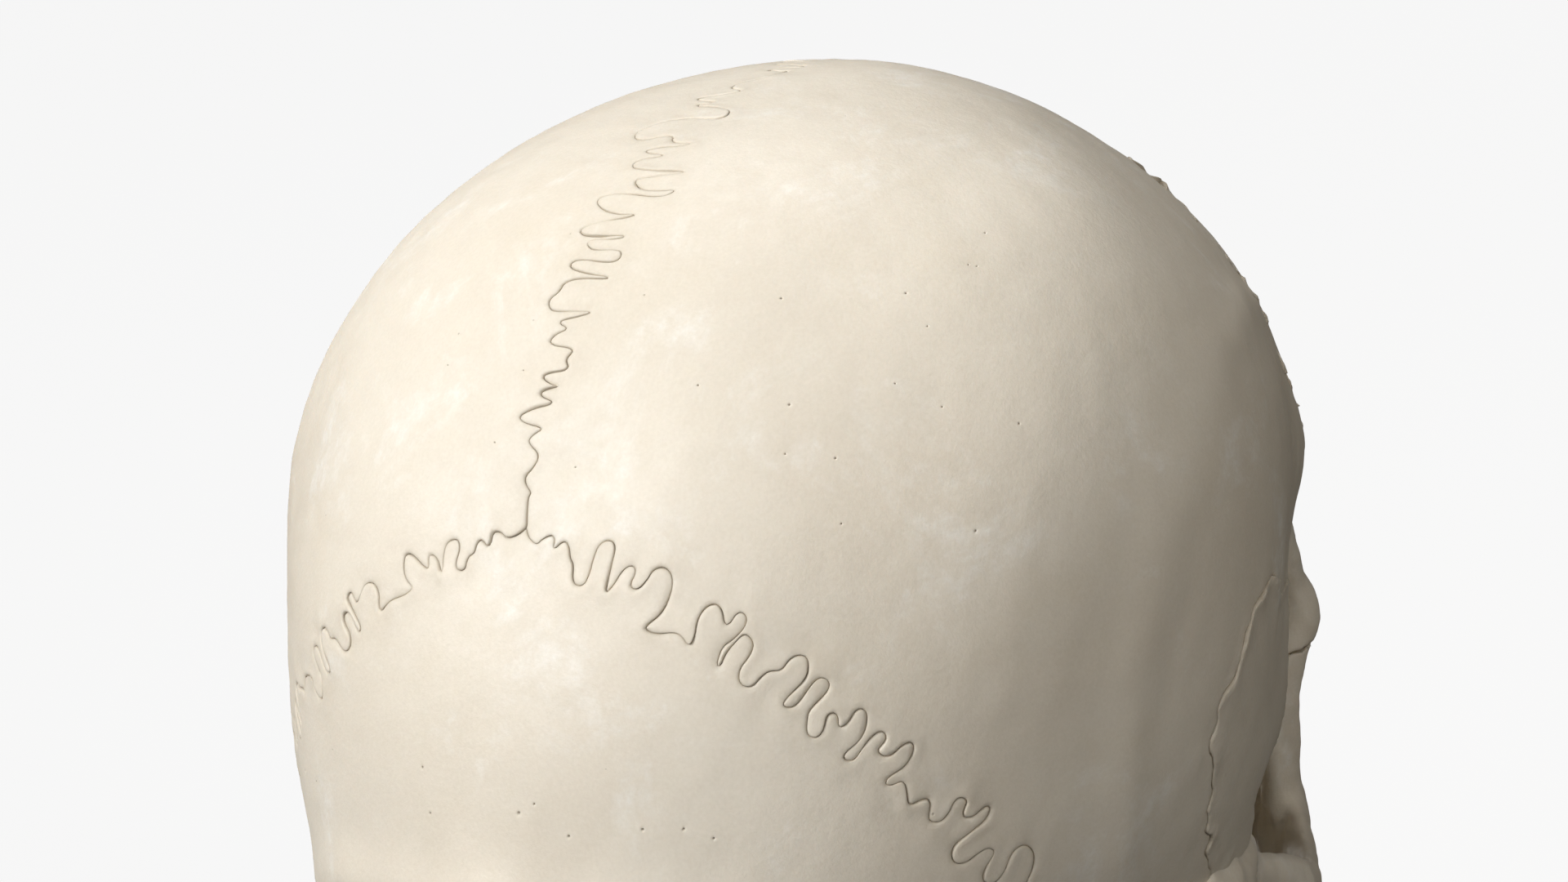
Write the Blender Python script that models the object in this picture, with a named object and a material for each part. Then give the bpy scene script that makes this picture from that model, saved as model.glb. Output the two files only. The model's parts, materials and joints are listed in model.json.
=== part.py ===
"""Classroom skull that comes apart into its bones.

Head coordinates in millimetres: X to the skull's left, Y to the back, Z up, origin midway between the
ear openings, with the ear openings and the lower orbit rims level. The finished skull is tipped back
so that it rests on its chin and the back of its head, and the origin is on the table under its middle.
"""
import math

import bmesh
import bpy
import numpy as np
from mathutils import Vector
from mathutils.geometry import delaunay_2d_cdt

# ---- driving dimensions, mm and degrees -------------------------------------------------------------
TILT_DEG = 20.8            # how far the face tips up when the skull rests on a table
LIFT = 51.2                # height of the ear line's origin over the table, along the tipped Z
SHIFT_Y = 8.42             # puts the middle of the length over the origin
HALF_GAP = 0.17            # half of the slit between neighbouring bones
VAULT_T = 6.0              # wall of the braincase
SOCKET_GAP = 0.3           # slack of a tooth in its socket
JAW_AXIS_Y, JAW_AXIS_Z = -9.5, -7.0   # line through the middle of both jaw condyles
CENTRE = np.array([0.0, 8.0, 42.0])   # centre of the braincase
STEP = 4.6                 # length of a facet along a suture
CELL = 10.5                # facet size on the vault

BONE = (0.83, 0.76, 0.63)
TOOTH = (0.88, 0.83, 0.70)

for old in list(bpy.data.objects):
    bpy.data.objects.remove(old, do_unlink=True)
for old in list(bpy.data.meshes):
    bpy.data.meshes.remove(old)

# ---- stations of the outer surface of the braincase: midline, then left side --------------------------
MID = [(0, -88, 27), (0, -92, 38), (0, -91, 50), (0, -88, 62), (0, -82, 76), (0, -68, 92), (0, -44, 104.2),
       (0, -12, 109.4), (0, 18, 111), (0, 42.3, 102.5), (0, 62.6, 90.7), (0, 77, 72), (0, 84.6, 48), (0, 89, 30),
       (0, 90, 14), (0, 87, -3), (0, 79, -18), (0, 64, -31), (0, 48, -37), (0, 30, -38), (0, 8, -33),
       (0, -20, -20), (0, -34, -10)]
LAT = [(25, 20, 106.9), (44.6, 20, 96.4), (60.5, 20, 80.4), (68.9, 20, 62.1), (69.9, 20, 48), (68.6, 20, 30), (66.7, 6, 47), (66.2, 6, 35),
       (66, 18, 15), (60, 15, -2), (25.2, -10, 104.9), (44, -10, 94), (57.6, -10, 77.4), (62.6, -10, 60),
       (62.6, -10, 45), (63.4, -8, 30), (62, -8, 14), (57, -8, 0), (20, -40, 103), (37, -40, 94), (48, -40, 81),
       (54, -40, 66), (54.3, -40, 50), (53.2, -40, 35), (51.5, -40, 20), (49, -40, 5), (45, -40, -5),
       (18, -65, 92.5), (34, -66, 84), (43, -65, 74), (47.5, -64, 62), (48, -62, 48), (47, -60, 34),
       (44.5, -58, 18), (41, -54, 3), (18, -82, 75), (32, -80, 69), (40, -77, 60), (44, -73, 50), (20, -89, 52),
       (20, -89, 40), (36, -82, 40), (20, -86, 30), (20.9, 48.2, 98), (41, 50, 88), (55.4, 50.3, 73.3),
       (63.8, 48.5, 37.9), (63.5, 50.3, 54.1), (62.5, 46.3, 21.8), (57.4, 44.3, 5.7), (49, 42, -10),
       (20, 74, 73.5), (37, 72, 62), (47.5, 68.7, 46), (50.5, 66.7, 29.9), (48.3, 66.3, 13.9), (43.5, 66.7, -0.5),
       (35, 64, -14), (20, 84, 48), (22, 86, 28), (22, 85, 12), (22, 81, -5), (22, 70, -22), (25, 52, -33),
       (38, 42, -27), (22, 30, -34), (40, 20, -20), (33, -5, -17), (44, -24, -8), (20, -30, -10)]


def unit(v):
    v = np.asarray(v, float)
    return v / np.linalg.norm(v, axis=-1, keepdims=True)


# ways in which the frontal and parietal bones pull off
PULLS = [unit([0, -0.72, 0.69]), unit([0.46, 0.62, 0.635]), unit([-0.46, 0.62, 0.635])]


class Surface:
    """Smooth radius round the centre that passes through all stations."""

    def __init__(self, stations):
        v = np.array(stations, float) - CENTRE
        r = np.linalg.norm(v, axis=1)
        self.d = v / r[:, None]
        k = self.kernel(self.d) + 1e-3 * np.eye(len(r))
        b = np.hstack([np.ones((len(r), 1)), self.d])
        m = np.block([[k, b], [b.T, np.zeros((4, 4))]])
        self.w = np.linalg.solve(m, np.concatenate([r, np.zeros(4)]))

    def kernel(self, d):
        return np.maximum(2 - 2 * d @ self.d.T, 1e-12) ** 1.5

    def radius(self, d):
        d = np.atleast_2d(d)
        return self.kernel(d) @ self.w[:-4] + self.w[-4] + d @ self.w[-3:]


VAULT = Surface(MID + LAT + [(-x, y, z) for x, y, z in LAT])

# ---- suture lines, left side (the right lambdoid and its neighbours differ a little) ------------------
SAGITTAL = [(0, -4, 109), (0, 18, 111), (0, 44, 102), (0, 64, 90), (0, 77, 72), (0, 84.6, 48.4)]
LAMBDOID = {1: [(0, 84, 48.4), (5.6, 85.3, 46.4), (11, 85.7, 44.6), (16.8, 85.8, 41.7), (22.2, 85.1, 38.9),
                (27.8, 83.5, 34.6), (33, 80.9, 29.5), (37.5, 77.9, 22.7), (41.9, 73.7, 16.6), (47, 66, 9),
                (53.5, 51, 0)],
            -1: [(0, 84, 48.4), (9.2, 85.7, 44.8), (17.9, 85.8, 40.7), (24.4, 84.5, 38.3), (28.7, 83.1, 34),
                 (33.5, 80.6, 32.3), (37.3, 78.2, 27.8), (41.6, 74.8, 24.6), (45.6, 70.5, 19.4), (48.8, 66.3, 16.3),
                 (52.1, 59.8, 10.9), (53.5, 51, 0)]}
PARIETOMASTOID = [(53.5, 51, 0), (58, 41, 1), (61.5, 28, 2.5)]
SQUAMOUS = [(61.5, 28, 2.5), (64.0, 32.5, 11.8), (65.5, 35, 18.5), (66.7, 36.5, 24.9), (68.2, 36.2, 30.8),
            (69.7, 34, 37.6), (71.1, 24.7, 41.7), (71.5, 12, 46), (69.5, -2, 46.5), (66, -14, 43.5), (62.5, -24, 38.5)]
SPHENOPARIETAL = [(62.5, -24, 38.5), (60, -34, 42)]
CORONAL = [(60, -34, 42), (63, -20, 56), (62.5, -8, 71), (57, -1, 83), (49.7, 1, 91.5), (38, -1, 99),
           (25, -2, 105), (12, -3, 108), (0, -4, 109)]
FRONTOSPHENOID = [(60, -34, 42), (57, -46, 38), (53, -56, 33), (47.5, -64, 26)]
BROW = [(47.5, -64, 26), (48.5, -71, 29.5), (44, -78, 33.5), (37, -82.5, 35.5), (28, -85.5, 35.5), (18, -88, 32),
        (10, -89, 27.5), (0, -89.5, 26.5)]
WING_LOW = [(47.5, -64, 26), (45, -59, 14), (42, -55, 3), (43, -46, -5), (46, -36, -7), (46, -28, -7)]
SPHENOSQUAMOUS = [(46, -28, -7), (54, -28, 5), (59, -27, 22), (62.5, -24, 38.5)]
OCCIPITOMASTOID = [(53.5, 51, 0), (50, 44, -10), (44, 38, -20), (36, 27, -25), (28, 15, -26)]
PETRO_OCCIPITAL = [(28, 15, -26), (24, 3, -24), (18, -10, -21), (13, -20, -17)]
PETRO_SPHENOID = [(13, -20, -17), (22, -22, -14), (33, -24, -11), (46, -28, -7)]
CLIVUS_END = [(13, -20, -17), (7, -25.5, -16), (0, -26.5, -15.5)]


def arc(stations, side=1, waves=0.0, pitch=9.2, step=STEP):
    """Directions along a smooth line through the stations, with a zigzag that dies out at both ends.

    The zigzag stays flat enough for the bones on both sides to pull away along PULL without catching.
    """
    p = np.array(stations, float) * [side, 1, 1]
    d = unit(p - CENTRE)
    out = []
    n = len(d)
    for i in range(n - 1):
        a, b = d[max(i - 1, 0)], d[min(i + 2, n - 1)]
        m = max(2, int(round(np.linalg.norm(p[i + 1] - p[i]) / 0.8)))
        for t in np.arange(m) / m:
            out.append(0.5 * ((2 * d[i]) + (d[i + 1] - a) * t + (2 * a - 5 * d[i] + 4 * d[i + 1] - b) * t * t
                              + (3 * d[i] - a - 3 * d[i + 1] + b) * t ** 3))
    d = unit(np.array(out + [d[-1]]))
    q = d * VAULT.radius(d)[:, None]
    s = np.concatenate([[0], np.cumsum(np.linalg.norm(np.diff(q, axis=0), axis=1))])
    count = max(2, int(round(s[-1] / (pitch / 2 if waves else step))))
    if waves and count % 2:
        count += 1
    at = np.linspace(0, s[-1], count + 1)
    c = np.stack([np.interp(at, s, d[:, k]) for k in range(3)], axis=1)
    c = unit(c)
    if waves:
        along = np.gradient(c, axis=0)
        across = unit(np.cross(c, along))
        fade = np.clip(np.minimum(at, s[-1] - at) / 16.0, 0, 1)
        for pull in PULLS:
            facing = np.degrees(np.arcsin(np.clip(np.abs((across * unit(pull - c * (c @ pull)[:, None])).sum(1)), 0, 1)))
            most = np.tan(np.radians(np.clip(facing - 9.0, 0, 60))) * pitch / 4 / waves
            if pull[0] * np.sign(c[:, 0].sum()) >= 0 or abs(c[:, 0]).max() < 0.03:
                fade = np.minimum(fade, np.minimum(most, 1))
        swing = np.where(np.arange(count + 1) % 2 == 0, 1.0, -1.0) * waves / 75.0 * fade
        swing[0] = swing[-1] = 0
        c = unit(c + across * swing[:, None])
    return c


def chain(*arcs):
    """One closed loop of directions from arcs that follow each other."""
    loop = []
    for a in arcs:
        loop.extend(a[:-1])
    return np.array(loop)


def chart(axis):
    axis = unit(axis)
    up = np.array([0, 0, 1.0]) if abs(axis[2]) < 0.9 else np.array([0, 1.0, 0])
    e1 = unit(np.cross(up, axis))
    e2 = np.cross(axis, e1)

    def flat(d):
        x, y = d @ e1, d @ e2
        s = np.hypot(x, y)
        t = np.arctan2(s, d @ axis)
        k = np.where(s > 1e-9, t / np.maximum(s, 1e-9), 1.0)
        return np.stack([x * k, y * k], axis=1)

    def back(uv):
        t = np.hypot(uv[:, 0], uv[:, 1])
        k = np.where(t > 1e-9, np.sin(t) / np.maximum(t, 1e-9), 1.0)
        return np.cos(t)[:, None] * axis + (uv[:, :1] * k[:, None]) * e1 + (uv[:, 1:] * k[:, None]) * e2

    return flat, back


def inside(p, loop):
    a, b = loop, np.roll(loop, -1, axis=0)
    x, y = p[:, 0:1], p[:, 1:2]
    with np.errstate(divide="ignore", invalid="ignore"):
        hit = ((a[:, 1] > y) != (b[:, 1] > y)) & (x < (b[:, 0] - a[:, 0]) * (y - a[:, 1]) / (b[:, 1] - a[:, 1]) + a[:, 0])
    return hit.sum(1) % 2 == 1


def distance(p, loop):
    a, b = loop, np.roll(loop, -1, axis=0)
    ab = b - a
    t = np.clip(((p[:, None] - a) * ab).sum(2) / np.maximum((ab ** 2).sum(1), 1e-12), 0, 1)
    return np.linalg.norm(p[:, None] - (a + t[..., None] * ab), axis=2).min(1)


def narrowed(loop, by, hole=False):
    """The loop moved inwards by the same width all round."""
    area = 0.5 * np.sum(loop[:, 0] * np.roll(loop[:, 1], -1) - loop[:, 1] * np.roll(loop[:, 0], -1))
    if area < 0:
        loop = loop[::-1]
    e0, e1 = loop - np.roll(loop, 1, axis=0), np.roll(loop, -1, axis=0) - loop
    n0 = unit(np.stack([-e0[:, 1], e0[:, 0]], axis=1))
    n1 = unit(np.stack([-e1[:, 1], e1[:, 0]], axis=1))
    n = unit(n0 + n1)
    n = n / np.maximum((n * n1).sum(1, keepdims=True), 0.35)
    return loop + n * (-by if hole else by)


# ---- mesh helpers -----------------------------------------------------------------------------------------
COS, SIN = math.cos(math.radians(TILT_DEG)), math.sin(math.radians(TILT_DEG))


def placed(p):
    """Head coordinates in mm to the resting skull's coordinates in metres."""
    p = np.asarray(p, float)
    y = p[..., 1] * COS + p[..., 2] * SIN + SHIFT_Y
    z = p[..., 2] * COS - p[..., 1] * SIN + LIFT
    return np.stack([p[..., 0], y, z], axis=-1) * 0.001


MATERIALS = {}


def material(name, colour, rough=0.55):
    if name not in MATERIALS:
        m = bpy.data.materials.new(name)
        m.use_nodes = True
        b = m.node_tree.nodes["Principled BSDF"]
        b.inputs["Base Color"].default_value = (*colour, 1)
        b.inputs["Roughness"].default_value = rough
        b.inputs["Metallic"].default_value = 0.0
        m.diffuse_color = (*colour, 1)
        MATERIALS[name] = m
    return MATERIALS[name]


def body(name, verts, faces, side=1):
    """A closed mesh object from points in head coordinates."""
    v = np.array(verts, float)
    v[:, 0] *= side
    mesh = bpy.data.meshes.new(name)
    mesh.from_pydata([tuple(q) for q in placed(v)], [], [tuple(int(i) for i in f) for f in faces])
    bm = bmesh.new()
    bm.from_mesh(mesh)
    bmesh.ops.recalc_face_normals(bm, faces=bm.faces)
    bmesh.ops.triangulate(bm, faces=bm.faces)
    bm.to_mesh(mesh)
    bm.free()
    o = bpy.data.objects.new(name, mesh)
    bpy.context.scene.collection.objects.link(o)
    return o


def combine(base, others, operation="UNION"):
    """Applies a Boolean with each of the others in turn, and removes them."""
    for other in others:
        m = base.modifiers.new("shape", "BOOLEAN")
        m.solver = "EXACT"
        m.operation = operation
        m.object = other
        m.use_hole_tolerant = False
        graph = bpy.context.evaluated_depsgraph_get()
        mesh = bpy.data.meshes.new_from_object(base.evaluated_get(graph))
        base.modifiers.clear()
        base.data = mesh
        bpy.data.objects.remove(other, do_unlink=True)
    tidy(base)
    return base


def tidy(o):
    """Welds the crumbs a Boolean leaves and keeps the largest piece."""
    bm = bmesh.new()
    bm.from_mesh(o.data)
    bmesh.ops.remove_doubles(bm, verts=bm.verts, dist=2e-5)
    bmesh.ops.dissolve_degenerate(bm, edges=bm.edges, dist=2e-5)
    bmesh.ops.triangulate(bm, faces=bm.faces)
    left, groups = set(bm.verts), []
    while left:
        stack = [left.pop()]
        group = set(stack)
        while stack:
            for e in stack.pop().link_edges:
                for w in e.verts:
                    if w in left:
                        left.discard(w)
                        group.add(w)
                        stack.append(w)
        groups.append(group)
    groups.sort(key=len)
    for g in groups[:-1]:
        bmesh.ops.delete(bm, geom=list(g), context="VERTS")
    bm.to_mesh(o.data)
    bm.free()


def swollen(o, by=0.3):
    """A copy of the object grown all round, to cut its neighbour with."""
    bm = bmesh.new()
    bm.from_mesh(o.data)
    bm.normal_update()
    moved = []
    for v in bm.verts:
        n = Vector((0, 0, 0))
        for f in v.link_faces:
            n += f.normal
        if n.length < 1e-9:
            n = v.normal.copy()
        n.normalize()
        low = min([max(n.dot(f.normal), 0.35) for f in v.link_faces] or [1.0])
        moved.append((v, v.co + n * (by * 0.001 / low)))
    for v, co in moved:
        v.co = co
    mesh = bpy.data.meshes.new("cutter")
    bm.to_mesh(mesh)
    bm.free()
    c = bpy.data.objects.new("cutter", mesh)
    bpy.context.scene.collection.objects.link(c)
    return c


def clear_of(o, *neighbours, gap=0.3):
    for n in neighbours:
        combine(o, [swollen(n, gap)], "DIFFERENCE")
    return o


def patch(name, axis, loop, thick, holes=(), cell=CELL):
    """A piece of the braincase wall: outer surface, inner surface and walls that point at the centre."""
    flat, back = chart(axis)
    uv = narrowed(flat(loop), HALF_GAP / 72.0)
    rings = [uv] + [narrowed(flat(h), 0.0, True) for h in holes]
    pts, edges = [], []
    for r in rings:
        n0 = len(pts)
        pts.extend(r)
        edges.extend([(n0 + i, n0 + (i + 1) % len(r)) for i in range(len(r))])
    h = cell / 72.0
    lo, hi = uv.min(0), uv.max(0)
    gx, gy = np.meshgrid(np.arange(lo[0], hi[0], h), np.arange(lo[1], hi[1], h * 0.866))
    gx = gx + (np.arange(gx.shape[0])[:, None] % 2) * h / 2
    g = np.stack([gx.ravel(), gy.ravel()], axis=1)
    keep = inside(g, uv) & (distance(g, uv) > 0.6 * h)
    for r in rings[1:]:
        keep &= ~inside(g, r) & (distance(g, r) > 0.6 * h)
    pts.extend(g[keep])
    out = delaunay_2d_cdt([Vector(p) for p in pts], edges, [], 0, 1e-7)
    q = np.array([tuple(p) for p in out[0]])
    tri = np.array([f for f in out[2]])
    c = q[tri].mean(1)
    ok = inside(c, uv)
    for r in rings[1:]:
        ok &= ~inside(c, r)
    tri = tri[ok]
    d = back(q)
    r = VAULT.radius(d)
    t = thick(CENTRE + d * r[:, None]) if callable(thick) else np.full(len(d), float(thick))
    outer, inner = CENTRE + d * r[:, None], CENTRE + d * (r - t)[:, None]
    n = len(q)
    faces = [tuple(f) for f in tri] + [tuple(f[::-1] + n) for f in tri]
    count = {}
    for f in tri:
        for i in range(3):
            a, b = int(f[i]), int(f[(i + 1) % 3])
            count[(a, b)] = count.get((a, b), 0) + 1
    for (a, b) in list(count):
        if (b, a) not in count:
            faces.append((b, a, a + n, b + n))
    used = sorted({int(i) for f in faces for i in f})
    index = {v: i for i, v in enumerate(used)}
    pos = np.vstack([outer, inner])[used]
    return body(name, pos, [tuple(index[int(i)] for i in f) for f in faces])


def loft(name, rings, side=1):
    """A closed skin through rings of equal count, capped at both ends."""
    rings = [np.array(r, float) for r in rings]
    m = len(rings[0])
    verts = np.vstack(rings)
    faces = []
    for i in range(len(rings) - 1):
        for j in range(m):
            k = (j + 1) % m
            faces.append((i * m + j, i * m + k, (i + 1) * m + k, (i + 1) * m + j))
    faces.append(tuple(range(m))[::-1])
    faces.append(tuple((len(rings) - 1) * m + j for j in range(m)))
    return body(name, verts, faces, side)


def rod(name, path, side=1, count=8, up=(0, 0, 1)):
    """A bar swept through (x, y, z, half width, half height) stations, with an oval section."""
    path = np.array(path, float)
    p = path[:, :3]
    tangent = unit(np.gradient(p, axis=0))
    rings = []
    for c, t, (a, b) in zip(p, tangent, path[:, 3:5]):
        w = unit(np.cross(t, up))
        h = np.cross(w, t)
        rings.append([c + w * a * math.cos(q) + h * b * math.sin(q) for q in np.arange(count) * 2 * math.pi / count])
    return loft(name, rings, side)


def ball(name, centre, radii, side=1, turn=(0, 0, 0), detail=2):
    bm = bmesh.new()
    bmesh.ops.create_icosphere(bm, subdivisions=detail, radius=1.0)
    v = np.array([tuple(q.co) for q in bm.verts]) * radii
    f = [tuple(w.index for w in face.verts) for face in bm.faces]
    bm.free()
    ax, ay, az = np.radians(turn)
    rx = np.array([[1, 0, 0], [0, math.cos(ax), -math.sin(ax)], [0, math.sin(ax), math.cos(ax)]])
    ry = np.array([[math.cos(ay), 0, math.sin(ay)], [0, 1, 0], [-math.sin(ay), 0, math.cos(ay)]])
    rz = np.array([[math.cos(az), -math.sin(az), 0], [math.sin(az), math.cos(az), 0], [0, 0, 1]])
    return body(name, v @ (rz @ ry @ rx).T + centre, f, side)


def sheet(name, point, nu, nv, thick, side=1):
    """A slab over a grid of points; thick is added to each point for the far face."""
    a = np.array([[point(u, v) for v in np.linspace(0, 1, nv)] for u in np.linspace(0, 1, nu)], float)
    b = np.array([[np.array(point(u, v)) + thick(u, v) for v in np.linspace(0, 1, nv)]
                  for u in np.linspace(0, 1, nu)], float)
    idx = lambda i, j: i * nv + j
    n = nu * nv
    faces = []
    for i in range(nu - 1):
        for j in range(nv - 1):
            f = (idx(i, j), idx(i, j + 1), idx(i + 1, j + 1), idx(i + 1, j))
            faces.append(f)
            faces.append(tuple(q + n for q in f[::-1]))
    rim = [idx(i, 0) for i in range(nu)] + [idx(nu - 1, j) for j in range(1, nv)] \
        + [idx(i, nv - 1) for i in range(nu - 2, -1, -1)] + [idx(0, j) for j in range(nv - 2, 0, -1)]
    for k, p in enumerate(rim):
        q = rim[(k + 1) % len(rim)]
        faces.append((p, q, q + n, p + n))
    return body(name, np.vstack([a.reshape(-1, 3), b.reshape(-1, 3)]), faces, side)


def prism(name, outline, x0, x1, side=1):
    """A plate: an outline in the YZ plane, from x0 to x1."""
    o = np.array(outline, float)
    return loft(name, [[(x0, y, z) for y, z in o], [(x1, y, z) for y, z in o]], side)


def block(name, lo, hi, side=1):
    (x0, y0, z0), (x1, y1, z1) = lo, hi
    return loft(name, [[(x0, y0, z), (x1, y0, z), (x1, y1, z), (x0, y1, z)] for z in (z0, z1)], side)

# ---- braincase -----------------------------------------------------------------------------------------------
ZIG = 2.0
LINES = {}
for side in (1, -1):
    LINES[side] = {
        "sagittal": arc(SAGITTAL, 1, ZIG),
        "lambdoid": arc(LAMBDOID[side], side, ZIG),
        "parietomastoid": arc(PARIETOMASTOID, side, 1.0),
        "squamous": arc(SQUAMOUS, side),
        "sphenoparietal": arc(SPHENOPARIETAL, side),
        "coronal": arc(CORONAL, side, ZIG),
        "frontosphenoid": arc(FRONTOSPHENOID, side),
        "brow": arc(BROW, side),
        "wing_low": arc(WING_LOW, side),
        "sphenosquamous": arc(SPHENOSQUAMOUS, side),
        "occipitomastoid": arc(OCCIPITOMASTOID, side, 1.0),
        "petro_occipital": arc(PETRO_OCCIPITAL, side),
        "petro_sphenoid": arc(PETRO_SPHENOID, side),
        "clivus_end": arc(CLIVUS_END, side),
    }
L, R = LINES[1], LINES[-1]

BONES = {}
for side, word in ((-1, "right"), (1, "left")):
    q = LINES[side]
    BONES["parietal_" + word] = patch(
        "parietal_" + word, (0.62 * side, 0.25, 0.5),
        chain(q["sagittal"], q["lambdoid"], q["parietomastoid"], q["squamous"], q["sphenoparietal"], q["coronal"]), VAULT_T)

BONES["frontal"] = patch(
    "frontal", (0, -0.8, 0.5),
    chain(L["coronal"][::-1], L["frontosphenoid"], L["brow"], R["brow"][::-1], R["frontosphenoid"][::-1], R["coronal"]),
    VAULT_T)


def occipital_wall(p):
    return np.interp(p[:, 1], [-26, -8, 20, 50, 90], [9.0, 6.5, 5.0, 6.0, 7.5])


magnum = unit(np.array([(15 * math.sin(a), 11 + 17.5 * math.cos(a), -33) for a in np.arange(14) * 2 * math.pi / 14]) - CENTRE)
BONES["occipital"] = patch(
    "occipital", (0, 0.6, -0.75),
    chain(L["lambdoid"], L["occipitomastoid"], L["petro_occipital"], L["clivus_end"], R["clivus_end"][::-1],
          R["petro_occipital"][::-1], R["occipitomastoid"][::-1], R["lambdoid"][::-1]), occipital_wall, [magnum])


# ---- eye socket: a funnel from the rim to its apex ----------------------------------------------------
def orbit(s, deg):
    a = math.radians(deg)
    c, k = math.cos(a), math.sin(a)
    rim = np.array([30.5 + 18.5 * c, -82 + 15 * ((1 + c) / 2) ** 2 - 2 * k, 16 + 17.5 * k])
    apex = np.array([15 + 6 * c, -38, 13 + 5 * k])
    return rim + (apex - rim) * s


def orbit_wall(name, s0, s1, a0, a1, side, nu=4, nv=7, thick=2.4):
    def point(u, v):
        return orbit(s0 + (s1 - s0) * u, a0 + (a1 - a0) * v)

    def out(u, v):
        a = math.radians(a0 + (a1 - a0) * v)
        return np.array([math.cos(a), 0.15, math.sin(a)]) * thick
    return sheet(name, point, nu, nv, out, side)


def half_space(name, point, normal, size=160.0, side=1):
    """A large block on the far side of a plane."""
    n = unit(normal)
    a = unit(np.cross(n, [0.123, 0.31, 0.94]))
    b = np.cross(n, a)
    p = np.array(point, float)
    square = [p + a * i * size + b * j * size for i, j in ((-1, -1), (1, -1), (1, 1), (-1, 1))]
    return loft(name, [square, [q + n * size for q in square]], side)


# ---- frontal bone ---------------------------------------------------------------------------------------
extra = [ball("nasal_part", (0, -82.5, 28.5), (11.0, 6.5, 4.6), detail=1)]
for side in (1, -1):
    extra.append(orbit_wall("orbital_plate", -0.04, 0.78, 24, 148, side))
    extra.append(rod("zygomatic_process", [(42.5, -77, 34, 3.5, 3.5), (46.4, -73, 30, 4, 4), (48.6, -69, 25.8, 4.0, 3.9),
                                           (48.8, -66.8, 21.0, 3.8, 3.6)], side, 8, (0, 1, 0)))
combine(BONES["frontal"], extra)
combine(BONES["frontal"], [half_space("level", (0, 0, 22.65), (0, 0, -1))], "DIFFERENCE")

# ---- temporal bones --------------------------------------------------------------------------------------
ARCH_SEAM, ARCH_NORMAL = np.array([59.0, -37.0, -8.6]), unit([0.2, 0.93, -0.3])


def temporal_wall(p):
    low = np.clip((14 - p[:, 2]) / 16, 0, 1)
    medial = np.clip((p[:, 0] ** 2 - 900) / 1200, 0, 1)
    return 4.2 + 5.0 * low * medial + 2.0 * low


for side, word in ((-1, "right"), (1, "left")):
    q = LINES[side]
    o = patch("temporal_" + word, (0.95 * side, 0.1, -0.35),
              chain(q["squamous"][::-1], q["parietomastoid"][::-1], q["occipitomastoid"], q["petro_occipital"],
                    q["petro_sphenoid"], q["sphenosquamous"]), temporal_wall)
    petrous = loft("petrous", [
        [(54, 2, -6), (54, 24, -6), (54, 22, 6), (54, 12, 13), (54, 2, 8)],
        [(38, -6, -8), (38, 15, -12), (38, 13, 2), (38, 4, 11), (38, -5, 4)],
        [(25, -14, -10), (25, 2, -15), (25, 0, -3), (25, -7, 5), (25, -14, -1)],
        [(15, -19.5, -11), (15, -11, -14), (15, -12, -6), (15, -16, -2), (15, -20, -6)]], side)
    mastoid = ball("mastoid", (52.5, 16.5, -12), (8, 10, 16.5), side, (-14, 8, 0))
    styloid = loft("styloid", [[(39.5 + 2.4 * math.cos(a), 7 + 2.4 * math.sin(a), -10) for a in np.arange(6) * math.pi / 3],
                               [(37.5 + 1.6 * math.cos(a), 5 + 1.6 * math.sin(a), -24) for a in np.arange(6) * math.pi / 3],
                               [(35.8 + 0.7 * math.cos(a), 2.5 + 0.7 * math.sin(a), -37) for a in np.arange(6) * math.pi / 3]], side)
    arch = rod("zygomatic_root", [(57, 6, 3, 3, 3), (60, -5, -0.6, 3.0, 3.6), (62.4, -14, -3.8, 2.4, 3.6),
                                  (62.2, -24, -6.4, 2.1, 3.6), (60.2, -33, -8.2, 2.1, 3.8), (57.8, -41, -9.4, 2.2, 4)], side)
    combine(o, [petrous, mastoid, styloid, arch])
    combine(o, [
        half_space("seam", ARCH_SEAM + ARCH_NORMAL * 0.15, -ARCH_NORMAL, 60.0, side),
        ball("fossa", (50.5, -9.5, -7.2), (13.5, 6.8, 6.8), side),
        loft("ear_opening", [[(x, 3.5 + 4.2 * math.cos(a), 1 + 4.8 * math.sin(a)) for a in np.arange(8) * math.pi / 4]
                             for x in (42, 75)], side)], "DIFFERENCE")
    BONES["temporal_" + word] = o

# ---- occipital bone's joint faces ---------------------------------------------------------------------------
combine(BONES["occipital"], [ball("condyle", (14.5 * side, 5, -34.5), (4.8, 10, 4.2), 1, (8, 0, 22 * side), 1) for side in (1, -1)])

# ---- sphenoid ----------------------------------------------------------------------------------------------------
wings = []
for side in (-1, 1):
    q = LINES[side]
    wings.append(patch("wing", (0.75 * side, -0.62, -0.2),
                       chain(q["frontosphenoid"], q["wing_low"], q["sphenosquamous"], q["sphenoparietal"]), 4.0))
hub = loft("sphenoid", [
    [(-11, -27.3, -9), (11, -27.3, -9), (13, -27.3, 4), (11, -27.3, 15), (-11, -27.3, 15), (-13, -27.3, 4)],
    [(-12, -36, -6), (12, -36, -6), (14, -36, 4), (12, -36, 17), (-12, -36, 17), (-14, -36, 4)],
    [(-9, -45.5, -3), (9, -45.5, -3), (10, -45.5, 6), (9, -45.5, 22), (-9, -45.5, 22), (-10, -45.5, 6)]])
parts = [loft("dorsum", [[(-7, -28.5, 12), (7, -28.5, 12), (7, -25.2, 12), (-7, -25.2, 12)],
                         [(-9, -29, 23), (9, -29, 23), (9, -26.5, 23), (-9, -26.5, 23)]])]
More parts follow.
